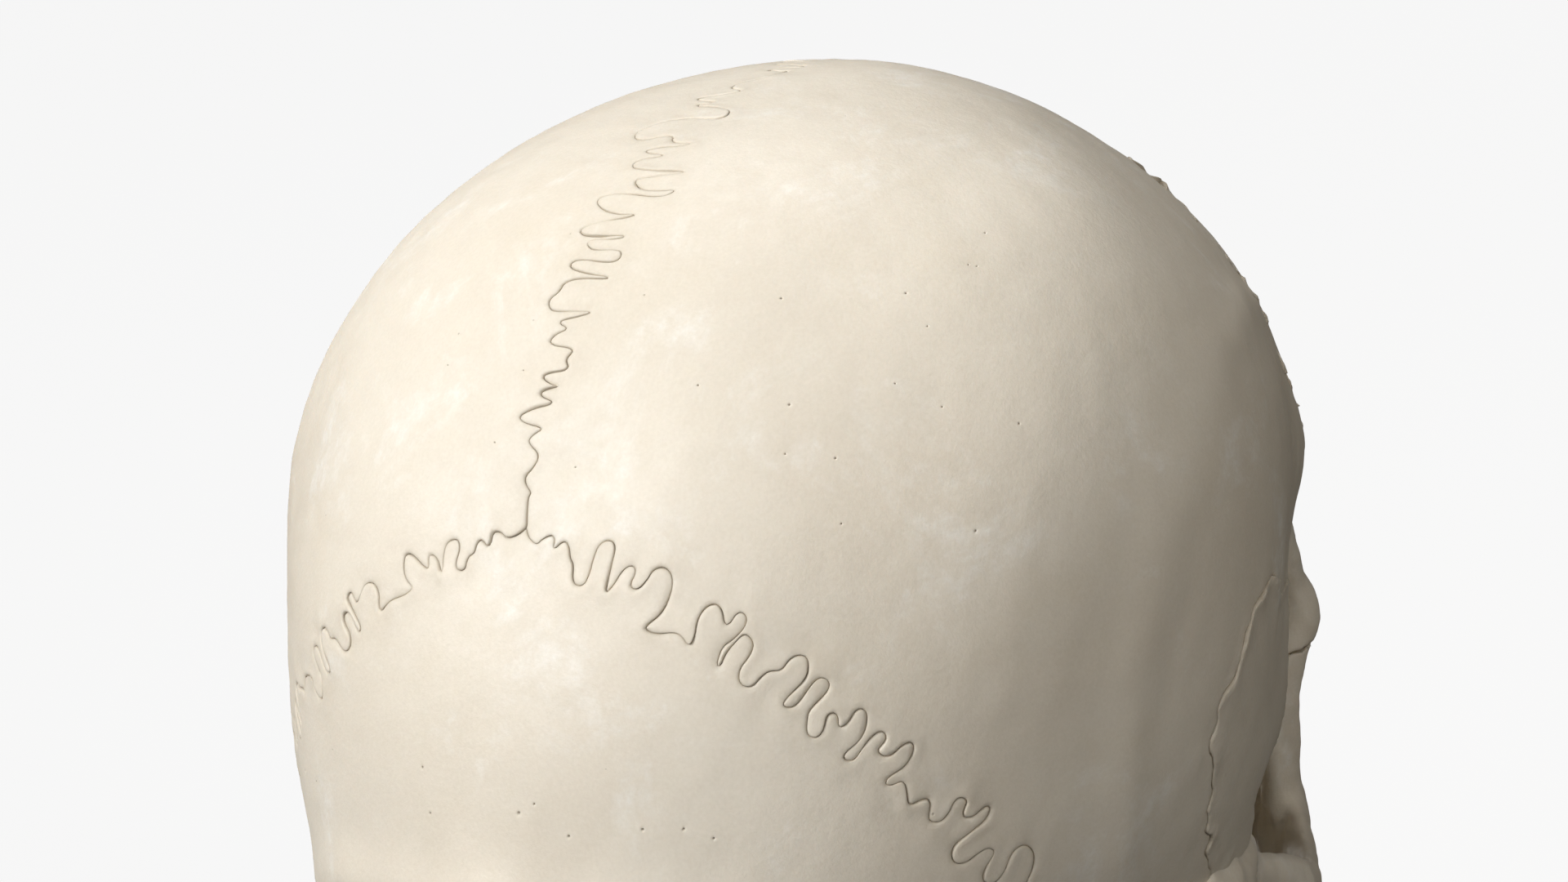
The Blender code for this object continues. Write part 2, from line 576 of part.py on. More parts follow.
for wing, side in zip(wings, (-1, 1)):
    parts.append(wing)
    parts.append(sheet("floor", lambda u, v: np.array([8, -44 + 14 * u, -1.5]) * (1 - v)
                       + np.array([45.5, -49 + 20 * u, -3.2 - 1.6 * math.sin(math.pi * u)]) * v
                       + np.array([0, 0, -3.2 * math.sin(math.pi * v)]),
                       4, 5, lambda u, v: np.array([0, 0, 3.6]), side))
    parts.append(orbit_wall("orbital_face", 0.215, 0.97, -48, 14, side, 4, 4, 2.8))
    parts.append(loft("lesser_wing", [
        [(6, -46, 19), (6, -33, 19), (6, -33, 23), (6, -46, 23)],
        [(20, -47.5, 25.5), (20, -40, 25.5), (20, -40, 28.5), (20, -47.5, 28.5)],
        [(36, -47.5, 32.2), (36, -43.5, 32.2), (36, -43.5, 34), (36, -47.5, 34)]], side))
    for x, y, w in ((19, -36.5, 1.2), (11.5, -38, 1.1)):
        parts.append(loft("pterygoid_plate", [
            [(x - w - 1.5, y - 5, -2), (x + w + 1.5, y - 5, -2), (x + w + 1.5, y + 5, -2), (x - w - 1.5, y + 5, -2)],
            [(x - w, y - 5, -16), (x + w, y - 5, -16), (x + w + 0.5, y + 5.5, -16), (x - w + 0.5, y + 5.5, -16)],
            [(x - w + 0.5, y - 3.5, -29), (x + w + 0.5, y - 3.5, -29), (x + w + 1, y + 3.5, -28), (x - w + 1, y + 3.5, -28)]], side))
    parts.append(loft("pterygoid_body", [
        [(9, -45, -12), (21, -45, -12), (20, -38, -12), (10, -38, -12)],
        [(8, -45, 0), (22, -45, 0), (22, -33, 0), (8, -33, 0)]], side))
combine(hub, parts)
combine(hub, [ball("sella", (0, -33.5, 18.5), (7.5, 4.2, 6.5), 1, (0, 0, 0), 1)], "DIFFERENCE")
clear_of(hub, BONES["frontal"])
BONES["sphenoid"] = hub

# ---- ethmoid --------------------------------------------------------------------------------------------------------
plate = block("ethmoid", (-9.1, -77.5, 19.5), (9.1, -48.1, 22.3))
parts = [prism("septum", [(-83, 20), (-84, 4), (-76, -7), (-60, -4), (-48, -1), (-48, 20)], -0.9, 0.9),
         loft("crest", [[(-1.6, -77, 20), (1.6, -77, 20), (1.6, -60, 20), (-1.6, -60, 20)],
                        [(-1.2, -76, 27), (1.2, -76, 27), (1.0, -65, 27), (-1.0, -65, 27)],
                        [(-0.7, -75, 32), (0.7, -75, 32), (0.6, -71.5, 32), (-0.6, -71.5, 32)]])]
for side in (1, -1):
    parts.append(loft("labyrinth", [
        [(4.6, -77, -1), (11.0, -77, -1), (11.6, -77, 10), (11.6, -77, 21), (4.2, -77, 21), (4.0, -77, 8)],
        [(4.6, -62, -5), (10.2, -62, -3), (10.8, -62, 9), (10.6, -62, 21), (3.8, -62, 21), (3.6, -62, 6)],
        [(4.4, -47.2, -2), (8.8, -47.2, -1), (9.6, -47.2, 8), (9.4, -47.2, 20.6), (4.0, -47.2, 20.6), (3.8, -47.2, 6)]], side))
combine(plate, parts)
clear_of(plate, BONES["frontal"])
BONES["ethmoid"] = plate

# ---- vomer ----------------------------------------------------------------------------------------------------------
BONES["vomer"] = prism("vomer", [(-88, -22.4), (-88, -19), (-76.5, -8), (-60.5, -4.8), (-48, -1.8), (-47, -4), (-44, -6),
                                 (-45.5, -24.1), (-54, -24.1)], -1.1, 1.1)

# ---- upper jaw --------------------------------------------------------------------------------------------------------
UPPER_ARCH = np.array([(0, -96.5), (10, -94.5), (19, -87.5), (25.2, -77), (28.6, -64), (30.2, -49)], float)
LOWER_ARCH = np.array([(0, -92.8), (8, -91.2), (16.5, -85.2), (22.8, -74.5), (27, -61.5), (30.5, -44)], float)
ALVEOLAR_TOP, ALVEOLAR_LOW = -37.5, -56.0
# width along the arch, width across it, crown height, root length in the socket, bite level of its edge
UPPER_TEETH = [("central_incisor", 8.4, 7.0, 10.5, 9), ("lateral_incisor", 6.5, 6.2, 9.6, 8.5), ("canine", 7.5, 8.0, 10.4, 10),
               ("first_premolar", 7.0, 9.0, 8.4, 8.5), ("second_premolar", 6.7, 9.0, 7.8, 8.5), ("first_molar", 9.9, 11.0, 7.4, 8),
               ("second_molar", 9.2, 11.0, 7.0, 7.5), ("third_molar", 8.0, 10.0, 6.6, 7)]
LOWER_TEETH = [("central_incisor", 5.3, 6.0, 9.0, 8), ("lateral_incisor", 5.8, 6.3, 9.2, 8), ("canine", 6.8, 7.6, 10.0, 9),
               ("first_premolar", 7.0, 7.6, 8.6, 8), ("second_premolar", 7.1, 8.0, 8.2, 8), ("first_molar", 10.8, 10.2, 7.8, 7.5),
               ("second_molar", 10.2, 10.0, 7.4, 7), ("third_molar", 9.6, 9.4, 7.0, 6.5)]
ZM_POINT, ZM_NORMAL = np.array([39.5, -69.0, -8.0]), unit([0.898, -0.408, 0.163])
FZ_Z = 22.35


def along(arch, s):
    """Point and outward direction at a length s from the midline."""
    t = np.linspace(0, 1, 200)
    n = len(arch)
    d = np.concatenate([[0], np.cumsum(np.linalg.norm(np.diff(arch, axis=0), axis=1))])
    u = np.interp(np.linspace(0, d[-1], 200), d, np.arange(n))
    fine = np.stack([np.interp(u, np.arange(n), arch[:, k]) for k in (0, 1)], axis=1)
    kernel = np.ones(31) / 31
    padded = np.vstack([fine[30:0:-1] * [-1, 1], fine, fine[-1] + (fine[-1] - fine[-2]) * np.arange(1, 31)[:, None]])
    fine = np.stack([np.convolve(padded[:, k], kernel, "same")[30:-30] for k in (0, 1)], axis=1)
    fine[0, 0] = 0
    e = np.concatenate([[0], np.cumsum(np.linalg.norm(np.diff(fine, axis=0), axis=1))])
    p = np.array([np.interp(s, e, fine[:, k]) for k in (0, 1)])
    q = np.array([np.interp(s + 0.5, e, fine[:, k]) for k in (0, 1)]) - np.array([np.interp(s - 0.5, e, fine[:, k]) for k in (0, 1)])
    q = unit(q)
    return p, np.array([q[1], -q[0]]) * (1 if q[1] * p[0] - q[0] * p[1] > 0 else -1)


def tooth_rings(arch, s, width, depth, crown, root, neck, up, kind, grow=0.0):
    """Six-sided rings from the root's tip to the biting edge; up is +1 for an upper tooth's root."""
    p, out = along(arch, s)
    tan = np.array([-out[1], out[0]])
    lean = {"incisor": 0.22, "canine": 0.14}.get(kind, 0.0)
    rows = [(root, 0.27, 0.24), (root * 0.5, 0.34, 0.33), (0.0, 0.42, 0.41), (-crown * 0.45, 0.475, 0.49)]
    rows += [(-crown, 0.43, 0.10)] if kind == "incisor" else [(-crown, 0.16, 0.14)] if kind == "canine" else [(-crown, 0.40, 0.36)]
    rings = []
    for h, a, b in rows:
        if grow and h < 0:
            continue
        a, b = a * width + grow, b * depth + grow
        shift = -h * lean + (0.22 * depth if (kind == "incisor" and h == -crown) else 0)
        c = p + out * shift
        ring = [(*(c + tan * a * math.cos(q) + out * b * math.sin(q)), neck + up * (h + (grow * 2 if grow and h == root else 0)))
                for q in (np.arange(6) + 0.5) * math.pi / 3]
        rings.append(ring)
    if grow:
        rings.append([(x, y, z - up * 4) for x, y, z in rings[-1]])
    return rings


def kind_of(word):
    return "incisor" if "incisor" in word else "canine" if "canine" in word else "cheek"


def tooth_row(prefix, arch, teeth, neck, up, side, word):
    """The teeth of one quarter and the cutters of their sockets."""
    row, cutters, s = {}, [], 0.0
    for name, width, depth, crown, root in teeth:
        s += width / 2
        args = (arch, s, width * 0.965, depth, crown, root, neck, up, kind_of(name))
        full = "%s_%s_%s" % (prefix, name, word)
        row[full] = loft(full, tooth_rings(*args), side)
        cutters.append(loft("socket", tooth_rings(*args, grow=SOCKET_GAP), side))
        s += width / 2
    return row, cutters


TEETH = {}
for side, word in ((-1, "right"), (1, "left")):
    o = loft("maxilla_" + word, [
        [(10, -92, -29), (20, -89, -29), (29, -77, -29), (33, -67, -29), (33.5, -58, -29), (31, -49, -29), (19, -48, -29), (15, -64, -29)],
        [(12, -88, -24), (22, -85.5, -24), (30, -76, -24), (35, -68, -24), (35, -60, -24), (31, -48.5, -24), (17, -47, -24), (14.6, -62, -24)],
        [(13.5, -84, -12), (24, -82, -12), (36, -76, -11), (43, -69, -11), (39, -60, -10), (29, -47.5, -10), (15.6, -46.6, -10), (14.6, -60, -12)],
        [(13, -83, -3.4), (24, -82.5, -3.4), (38, -77.5, -2.6), (47, -69, -2.4), (37, -60, -0.4), (24, -47.5, 1.4), (15.6, -46.6, 1.4), (13.6, -60, -1)]], side)
    ridge = []
    for s in (0.17, 6, 14, 22, 30, 40, 50, 59):
        p, out = along(UPPER_ARCH, s)
        ridge.append((p[0], p[1] + (0.5 if s < 1 else 0), -31.5, float(np.interp(s, [0, 14, 30, 45, 60], [4.6, 5.2, 6.2, 7.4, 6.6])), 6.0))
    ridge[0] = (0.17, ridge[0][1], *ridge[0][2:])
    process = rod("alveolar", ridge, side, 8)
    palate = sheet("palate", lambda u, v: (0.17 + 24 * v, -90 + 36.6 * u, -26.2 - 4.5 * v * v), 4, 4,
                   lambda u, v: np.array([0, 0, 2.4]), side)
    spine = loft("nasal_spine", [[(0.17, -97.2, -26), (5, -94, -26), (5, -85, -26), (0.17, -85, -26)],
                                 [(0.17, -97, -22.4), (1.4, -95, -22.4), (1.2, -90, -22.4), (0.17, -90, -22.4)]], side)
    front = loft("frontal_process", [
        [(13, -89, -20), (20, -88, -20), (21, -84, -20), (14, -83, -20)],
        [(12.6, -90.5, -8), (20, -88.5, -8), (22, -82, -8), (14, -82.5, -8)],
        [(11.4, -92.5, 1), (15, -90, 0), (17, -82.6, -2), (13, -82.6, -2)],
        [(8.6, -93.5, 10), (11, -91, 10), (13, -83, 10), (11.4, -83, 10)],
        [(6.8, -91, 18), (9.4, -89.5, 18), (12.4, -84, 19), (9.8, -84, 19)],
        [(5.8, -88.5, 27), (9, -87.5, 27), (11.6, -84.5, 27), (8, -84.5, 27)]], side)
    combine(o, [process, palate, spine, front])
    combine(o, [half_space("seam", ZM_POINT - ZM_NORMAL * 0.15, ZM_NORMAL, 60, side),
                half_space("midline", (0.17, 0, 0), (-1, 0, 0), 160, side)], "DIFFERENCE")
    row, cutters = tooth_row("upper", UPPER_ARCH, UPPER_TEETH, ALVEOLAR_TOP - 0.2, 1, side, word)
    combine(o, cutters, "DIFFERENCE")
    TEETH.update(row)
    clear_of(o, BONES["frontal"])
    BONES["maxilla_" + word] = o

    # nasal, lacrimal, palatine bones and lower concha
    o = loft("nasal_" + word, [
        [(0.17, -88.6, 27), (0.17, -86, 27), (5.0, -84.8, 27), (5.6, -87.2, 27)],
        [(0.17, -92.2, 19), (0.17, -89.6, 19), (5.2, -87.4, 19), (6.2, -89.6, 19)],
        [(0.17, -97.6, 12), (0.17, -95, 12), (6.4, -90.6, 12), (7.6, -92.6, 12)],
        [(0.17, -101.5, 5.5), (0.17, -99, 5.5), (8, -92.8, 6.5), (9.2, -94.6, 6.5)]], side)
    clear_of(o, BONES["frontal"], BONES["maxilla_" + word])
    BONES["nasal_" + word] = o
    o = loft("lacrimal_" + word, [[(11.9, -82.2, 0.5), (12.9, -82.2, 0.5), (12.6, -77.4, 0.5), (11.6, -77.4, 0.5)],
                                  [(11.9, -82.4, 19), (12.9, -82.4, 19), (12.8, -77.4, 20), (11.9, -77.4, 20)]], side)
    clear_of(o, BONES["maxilla_" + word], BONES["frontal"], BONES["ethmoid"])
    BONES["lacrimal_" + word] = o
    o = block("palatine_" + word, (0.17, -53.2, -26.4), (15.2, -45.6, -24.2), side)
    combine(o, [block("upright", (13.2, -52.7, -25.6), (14.9, -46.1, -3), side)])
    clear_of(o, BONES["maxilla_" + word], BONES["sphenoid"], BONES["vomer"], BONES["ethmoid"])
    BONES["palatine_" + word] = o
    o = sheet("inferior_concha_" + word, lambda u, v: (12.2 - 6.0 * math.sin(v * 2.6), -83 + 29.5 * u, -7.8 - 7.5 * v - 1.5 * u),
              4, 6, lambda u, v: 1.4 * unit([-7.5, 0, 15.6 * math.cos(v * 2.6)]), side)
    clear_of(o, BONES["maxilla_" + word], BONES["palatine_" + word], BONES["ethmoid"])
    BONES["inferior_concha_" + word] = o

    # cheek bone
    o = rod("zygomatic_" + word, [(33, -80.5, -4.5, 2.6, 4.0), (39, -78.5, -7.5, 3.2, 6.6), (45, -73.5, -9.2, 3.6, 9.0),
                                  (50, -65.5, -10.4, 3.2, 7.8), (53.8, -55.5, -10.8, 2.4, 5.2), (56.6, -46, -10.0, 2.2, 4.2),
                                  (59, -37, -8.8, 2.1, 3.9), (60.4, -31, -8.0, 2.1, 3.9)], side, 8)
    up = rod("frontal_process", [(46, -71.5, -8, 3.2, 6), (47.4, -69.8, 4, 3.2, 5.2), (47.8, -67.8, 14, 3.0, 4.4), (48.8, -66.8, 25, 3.8, 3.6)],
             side, 8, (0, 1, 0))
    face = orbit_wall("orbital_face", 0.02, 0.20, -46, 16, side, 3, 4)
    combine(o, [up, face])
    combine(o, [half_space("seam", ZM_POINT + ZM_NORMAL * 0.15, -ZM_NORMAL, 60, side),
                half_space("level", (0, 0, FZ_Z), (0, 0, 1), 160, side),
                half_space("arch_seam", ARCH_SEAM - ARCH_NORMAL * 0.15, ARCH_NORMAL, 60, side)], "DIFFERENCE")
    clear_of(o, BONES["sphenoid"])
    BONES["zygomatic_" + word] = o

for name in ("sphenoid", "ethmoid", "vomer"):
    clear_of(BONES[name], *(BONES["maxilla_" + w] for w in ("right", "left")))

# ---- lower jaw -----------------------------------------------------------------------------------------------------------
TOP = [(0, -91, -56), (8, -89.6, -56), (16.4, -84.2, -56), (22.6, -74.5, -56), (27.2, -62.5, -55.6), (31, -50, -55), (34.6, -39, -53), (40, -31, -44)]
LOW = [(0, -84, -86.6), (9.5, -82.6, -86.6), (19, -76.6, -84.0), (26.5, -67.5, -80.2), (32.5, -57, -75.4), (37.5, -45, -70), (41.5, -33, -65.4), (45, -22, -61.6)]
WIDTHS = [(4.2, 5.2, 6.4), (4.2, 5.2, 6.4), (4.8, 5.2, 6.0), (5.4, 5.6, 5.6), (6.6, 6.6, 5.2), (6.8, 7.0, 4.8), (5.4, 6.2, 4.4), (3.4, 4.2, 3.6)]
stations = [(-1, i) for i in range(len(TOP) - 1, 0, -1)] + [(1, i) for i in range(len(TOP))]
path = [((np.array(TOP[i]) * [s, 1, 1]), (np.array(LOW[i]) * [s, 1, 1]), WIDTHS[i]) for s, i in stations]
mid = np.array([(a + b) / 2 for a, b, _ in path])
heading = unit(np.gradient(mid[:, :2], axis=0))
rings = []
for (a, b, (wt, wm, wb)), t in zip(path, heading):
    n = np.array([t[1], -t[0], 0])
    h = a - b
    rings.append([a + n * wt * 0.8, a + n * wt - h * 0.06, a - h * 0.45 + n * wm, b + h * 0.14 + n * wb, b + n * wb * 0.55,
                  b - n * wb * 0.55, b + h * 0.14 - n * wb, a - h * 0.45 - n * wm * 0.8, a - n * wt - h * 0.06, a - n * wt * 0.8])
jaw = loft("mandible", rings)
parts = []
OUTLINE = [(-41, -50), (-38.5, -38), (-37, -24), (-37, -14), (-34.5, -10), (-30, -11.5), (-26, -18), (-20.5, -21.5), (-15, -19), (-12, -14),
           (-7, -14), (-4.6, -19), (-3.4, -30), (-3.0, -42), (-4.4, -51), (-9, -56.6), (-18, -60), (-30, -63.5), (-39, -65)]
for side in (1, -1):
    lean = lambda z: float(np.interp(z, [-66, -50, -30, -10], [43.6, 44.6, 46.0, 48.6]))
    thin = lambda z: float(np.interp(z, [-66, -50, -30, -10], [6.2, 5.6, 5.0, 4.2]))
    parts.append(loft("ramus", [[(lean(z), y, z) for y, z in OUTLINE], [(lean(z) + thin(z), y, z) for y, z in OUTLINE]], side))
    parts.append(ball("condyle", (50.5, JAW_AXIS_Y, JAW_AXIS_Z), (9, 4.4, 4.4), side))
    parts.append(rod("neck", [(49, -9.5, -24, 3.0, 4.5), (49.8, -9.3, -16, 3.4, 3.6), (50.4, -9.5, -9, 6.0, 3.0)], side, 8, (0, 1, 0)))
combine(jaw, parts)
for side, word in ((-1, "right"), (1, "left")):
    row, cutters = tooth_row("lower", LOWER_ARCH, LOWER_TEETH, ALVEOLAR_LOW + 0.2, -1, side, word)
    combine(jaw, cutters, "DIFFERENCE")
    TEETH.update(row)
BONES["mandible"] = jaw

# ---- flats that the skull rests on -----------------------------------------------------------------------------------
for name in ("mandible", "occipital"):
    o = BONES[name]
    mesh = bpy.data.meshes.new("table")
    s = 0.2
    mesh.from_pydata([(x, y, z) for z in (-s, 0.0) for x, y in ((-s, -s), (s, -s), (s, s), (-s, s))], [],
                     [(3, 2, 1, 0), (4, 5, 6, 7), (0, 1, 5, 4), (1, 2, 6, 5), (2, 3, 7, 6), (3, 0, 4, 7)])
    cut = bpy.data.objects.new("table", mesh)
    bpy.context.scene.collection.objects.link(cut)
    combine(o, [cut], "DIFFERENCE")

ON_AXIS = {"mandible": (0, JAW_AXIS_Y, JAW_AXIS_Z), "frontal": (0, -80, 60), "parietal_right": (-62, 25, 70),
           "parietal_left": (62, 25, 70), "zygomatic_right": (-48, -70, -8), "zygomatic_left": (48, -70, -8)}
for name, o in list(BONES.items()) + list(TEETH.items()):
    if name in ON_AXIS:
        pivot = placed(ON_AXIS[name])
        for v in o.data.vertices:
            v.co = v.co - Vector(pivot)
        o.location = pivot
    o.name = name
    o.data.name = name
    o.data.materials.clear()
    o.data.materials.append(material("tooth", TOOTH, 0.35) if name in TEETH else material("bone", BONE, 0.55))
    o.data.shade_smooth()
    o.data.set_sharp_from_angle(angle=math.radians(35))
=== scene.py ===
"""Looks of a classroom skull that comes apart into its bones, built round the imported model.

Head coordinates in millimetres: X to the skull's left, Y to the back, Z up, origin midway between the ear
openings. Shapes are worked out there and then tipped back onto the table, in metres.
"""
import json
import math

import bpy
import numpy as np
import openvdb
from mathutils import Matrix, Vector
from mathutils.geometry import delaunay_2d_cdt
from mathutils.kdtree import KDTree


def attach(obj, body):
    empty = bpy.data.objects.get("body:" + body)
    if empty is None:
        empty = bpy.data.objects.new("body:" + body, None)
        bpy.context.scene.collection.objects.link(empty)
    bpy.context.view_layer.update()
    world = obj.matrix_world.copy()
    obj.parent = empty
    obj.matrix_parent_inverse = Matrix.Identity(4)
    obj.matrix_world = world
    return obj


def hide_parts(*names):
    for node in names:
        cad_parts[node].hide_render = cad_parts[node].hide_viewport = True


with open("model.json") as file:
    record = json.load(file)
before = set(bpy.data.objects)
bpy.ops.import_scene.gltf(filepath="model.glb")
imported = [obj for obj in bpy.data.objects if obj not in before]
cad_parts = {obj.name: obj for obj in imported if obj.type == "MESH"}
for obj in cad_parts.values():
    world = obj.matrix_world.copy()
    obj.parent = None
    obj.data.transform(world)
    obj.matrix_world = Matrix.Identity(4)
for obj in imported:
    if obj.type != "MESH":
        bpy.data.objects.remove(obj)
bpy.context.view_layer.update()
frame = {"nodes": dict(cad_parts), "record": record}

# ---- where the skull rests -----------------------------------------------------------------------------
TILT = math.radians(20.8)
LIFT, SHIFT_Y = 51.2, 8.42
COS, SIN = math.cos(TILT), math.sin(TILT)
JAW_AXIS = (-9.5, -7.0)
CENTRE = np.array([0.0, 8.0, 42.0])


def placed(p):
    p = np.asarray(p, float)
    y = p[..., 1] * COS + p[..., 2] * SIN + SHIFT_Y
    z = p[..., 2] * COS - p[..., 1] * SIN + LIFT
    return np.stack([p[..., 0], y, z], axis=-1) * 0.001


def turned(v):
    v = np.asarray(v, float)
    return np.stack([v[..., 0], v[..., 1] * COS + v[..., 2] * SIN, v[..., 2] * COS - v[..., 1] * SIN], axis=-1)


def unit(v):
    v = np.asarray(v, float)
    return v / np.linalg.norm(v, axis=-1, keepdims=True)


# ---- outer surface of the braincase --------------------------------------------------------------------
MID = [(0, -88, 27), (0, -92, 38), (0, -91, 50), (0, -88, 62), (0, -82, 76), (0, -68, 92), (0, -44, 104.2),
       (0, -12, 109.4), (0, 18, 111), (0, 42.3, 102.5), (0, 62.6, 90.7), (0, 77, 72), (0, 84.6, 48), (0, 89, 30),
       (0, 90, 14), (0, 87, -3), (0, 79, -18), (0, 64, -31), (0, 48, -37), (0, 30, -38), (0, 8, -33),
       (0, -20, -20), (0, -34, -10)]
LAT = [(25, 20, 106.9), (44.6, 20, 96.4), (60.5, 20, 80.4), (68.9, 20, 62.1), (69.9, 20, 48), (68.6, 20, 30),
       (66.7, 6, 47), (66.2, 6, 35),
       (66, 18, 15), (60, 15, -2), (25.2, -10, 104.9), (44, -10, 94), (57.6, -10, 77.4), (62.6, -10, 60),
       (62.6, -10, 45), (63.4, -8, 30), (62, -8, 14), (57, -8, 0), (20, -40, 103), (37, -40, 94), (48, -40, 81),
       (54, -40, 66), (54.3, -40, 50), (53.2, -40, 35), (51.5, -40, 20), (49, -40, 5), (45, -40, -5),
       (18, -65, 92.5), (34, -66, 84), (43, -65, 74), (47.5, -64, 62), (48, -62, 48), (47, -60, 34),
       (44.5, -58, 18), (41, -54, 3), (18, -82, 75), (32, -80, 69), (40, -77, 60), (44, -73, 50), (20, -89, 52),
       (20, -89, 40), (36, -82, 40), (20, -86, 30), (20.9, 48.2, 98), (41, 50, 88), (55.4, 50.3, 73.3),
       (63.8, 48.5, 37.9), (63.5, 50.3, 54.1), (62.5, 46.3, 21.8), (57.4, 44.3, 5.7), (49, 42, -10),
       (20, 74, 73.5), (37, 72, 62), (47.5, 68.7, 46), (50.5, 66.7, 29.9), (48.3, 66.3, 13.9), (43.5, 66.7, -0.5),
       (35, 64, -14), (20, 84, 48), (22, 86, 28), (22, 85, 12), (22, 81, -5), (22, 70, -22), (25, 52, -33),
       (38, 42, -27), (22, 30, -34), (40, 20, -20), (33, -5, -17), (44, -24, -8), (20, -30, -10)]


class Surface:
    def __init__(self, stations):
        v = np.array(stations, float) - CENTRE
        r = np.linalg.norm(v, axis=1)
        self.d = v / r[:, None]
        k = self.kernel(self.d) + 1e-3 * np.eye(len(r))
        b = np.hstack([np.ones((len(r), 1)), self.d])
        m = np.block([[k, b], [b.T, np.zeros((4, 4))]])
        self.w = np.linalg.solve(m, np.concatenate([r, np.zeros(4)]))
        n = 360
        el, az = np.linspace(-np.pi / 2, np.pi / 2, n + 1), np.linspace(-np.pi, np.pi, 2 * n + 1)
        e, a = np.meshgrid(el, az, indexing="ij")
        d = np.stack([np.sin(e), np.cos(e) * np.cos(a), np.cos(e) * np.sin(a)], axis=-1)
        self.n = n
        self.table = np.concatenate([self.exact(row) for row in d.reshape(-1, 3 * (2 * n + 1)).reshape(n + 1, -1, 3)]) \
            .reshape(n + 1, 2 * n + 1).astype(np.float32)

    def kernel(self, d):
        return np.maximum(2 - 2 * d @ self.d.T, 1e-12) ** 1.5

    def exact(self, d):
        d = np.atleast_2d(d)
        return self.kernel(d) @ self.w[:-4] + self.w[-4] + d @ self.w[-3:]

    def radius(self, d):
        """Radius by linear look-up in the table; d is unit directions of any shape (..., 3)."""
        return self.look(d[..., 0], d[..., 1], d[..., 2])

    def look(self, x, y, z):
        u = (np.arcsin(np.clip(x, -1, 1)) / np.pi + 0.5) * self.n
        v = (np.arctan2(z, y) / np.pi + 1.0) * self.n
        i = np.clip(u.astype(np.int32), 0, self.n - 1)
        j = np.clip(v.astype(np.int32), 0, 2 * self.n - 1)
        a, b = (u - i), (v - j)
        t = self.table
        return (t[i, j] * (1 - a) + t[i + 1, j] * a) * (1 - b) + (t[i, j + 1] * (1 - a) + t[i + 1, j + 1] * a) * b


VAULT = Surface(MID + LAT + [(-x, y, z) for x, y, z in LAT])


def waves(seed, low, high, count=22):
    """A smooth pseudo-random field of points: a sum of plane waves with wavelengths from low to high, mm."""
    g = np.random.default_rng(seed)
    k = unit(g.normal(size=(count, 3))) * (2 * np.pi / np.exp(g.uniform(np.log(low), np.log(high), count)))[:, None]
    ph = g.uniform(0, 2 * np.pi, count)
    scale = 1.0 / math.sqrt(count / 2)

    def field(x, y, z):
        out = 0.0
        for (a, b, c), f in zip(k.astype(np.float32), ph.astype(np.float32)):
            out = out + np.sin(a * x + b * y + c * z + f)
        return out * scale

    return field


SOFT = waves(3, 14, 40, 16)
FINE = waves(5, 2.5, 7, 24)
ROUGH = waves(8, 1.4, 3.5, 24)


def hump(v, a, b):
    """Smooth step from 0 at a to 1 at b."""
    t = np.clip((v - a) / (b - a), 0, 1)
    return t * t * (3 - 2 * t)


def near_line(x, y, z, pts, width):
    """Gauss-shaped ridge of half width along a polyline."""
    best = None
    for p, q in zip(pts[:-1], pts[1:]):
        p, q = np.asarray(p, np.float32), np.asarray(q, np.float32)
        d = q - p
        t = np.clip(((x - p[0]) * d[0] + (y - p[1]) * d[1] + (z - p[2]) * d[2]) / float(d @ d), 0, 1)
        e = (x - p[0] - t * d[0]) ** 2 + (y - p[1] - t * d[1]) ** 2 + (z - p[2] - t * d[2]) ** 2
        best = e if best is None else np.minimum(best, e)
    return np.exp(-best / (width * width))


TEMPORAL_LINE = [(50, -70, 33), (50.5, -64, 42), (52, -52, 55), (55.5, -34, 70), (60, -12, 78), (63.5, 12, 78), (63, 34, 68),
                 (61.5, 48, 50), (61, 52, 34), (60, 50, 18), (57, 44, 6)]
EMINENCE = [(-50.3, 47.5, 82), (-50.5, 56.8, 72), (-50.3, 62.1, 62.7), (-49.7, 66.2, 50)]
NUCHAL_HIGH = [(0, 88.5, 2), (14, 87, 5), (28, 80, 4), (40, 69, 0), (48, 56, -4), (52, 42, -8)]
NUCHAL_LOW = [(0, 74, -23), (12, 73, -22), (24, 66, -22), (33, 56, -23), (38, 44, -25)]
CREST = [(0, 88.5, 2), (0, 82, -13), (0, 70, -27), (0, 52, -36), (0, 32, -38)]


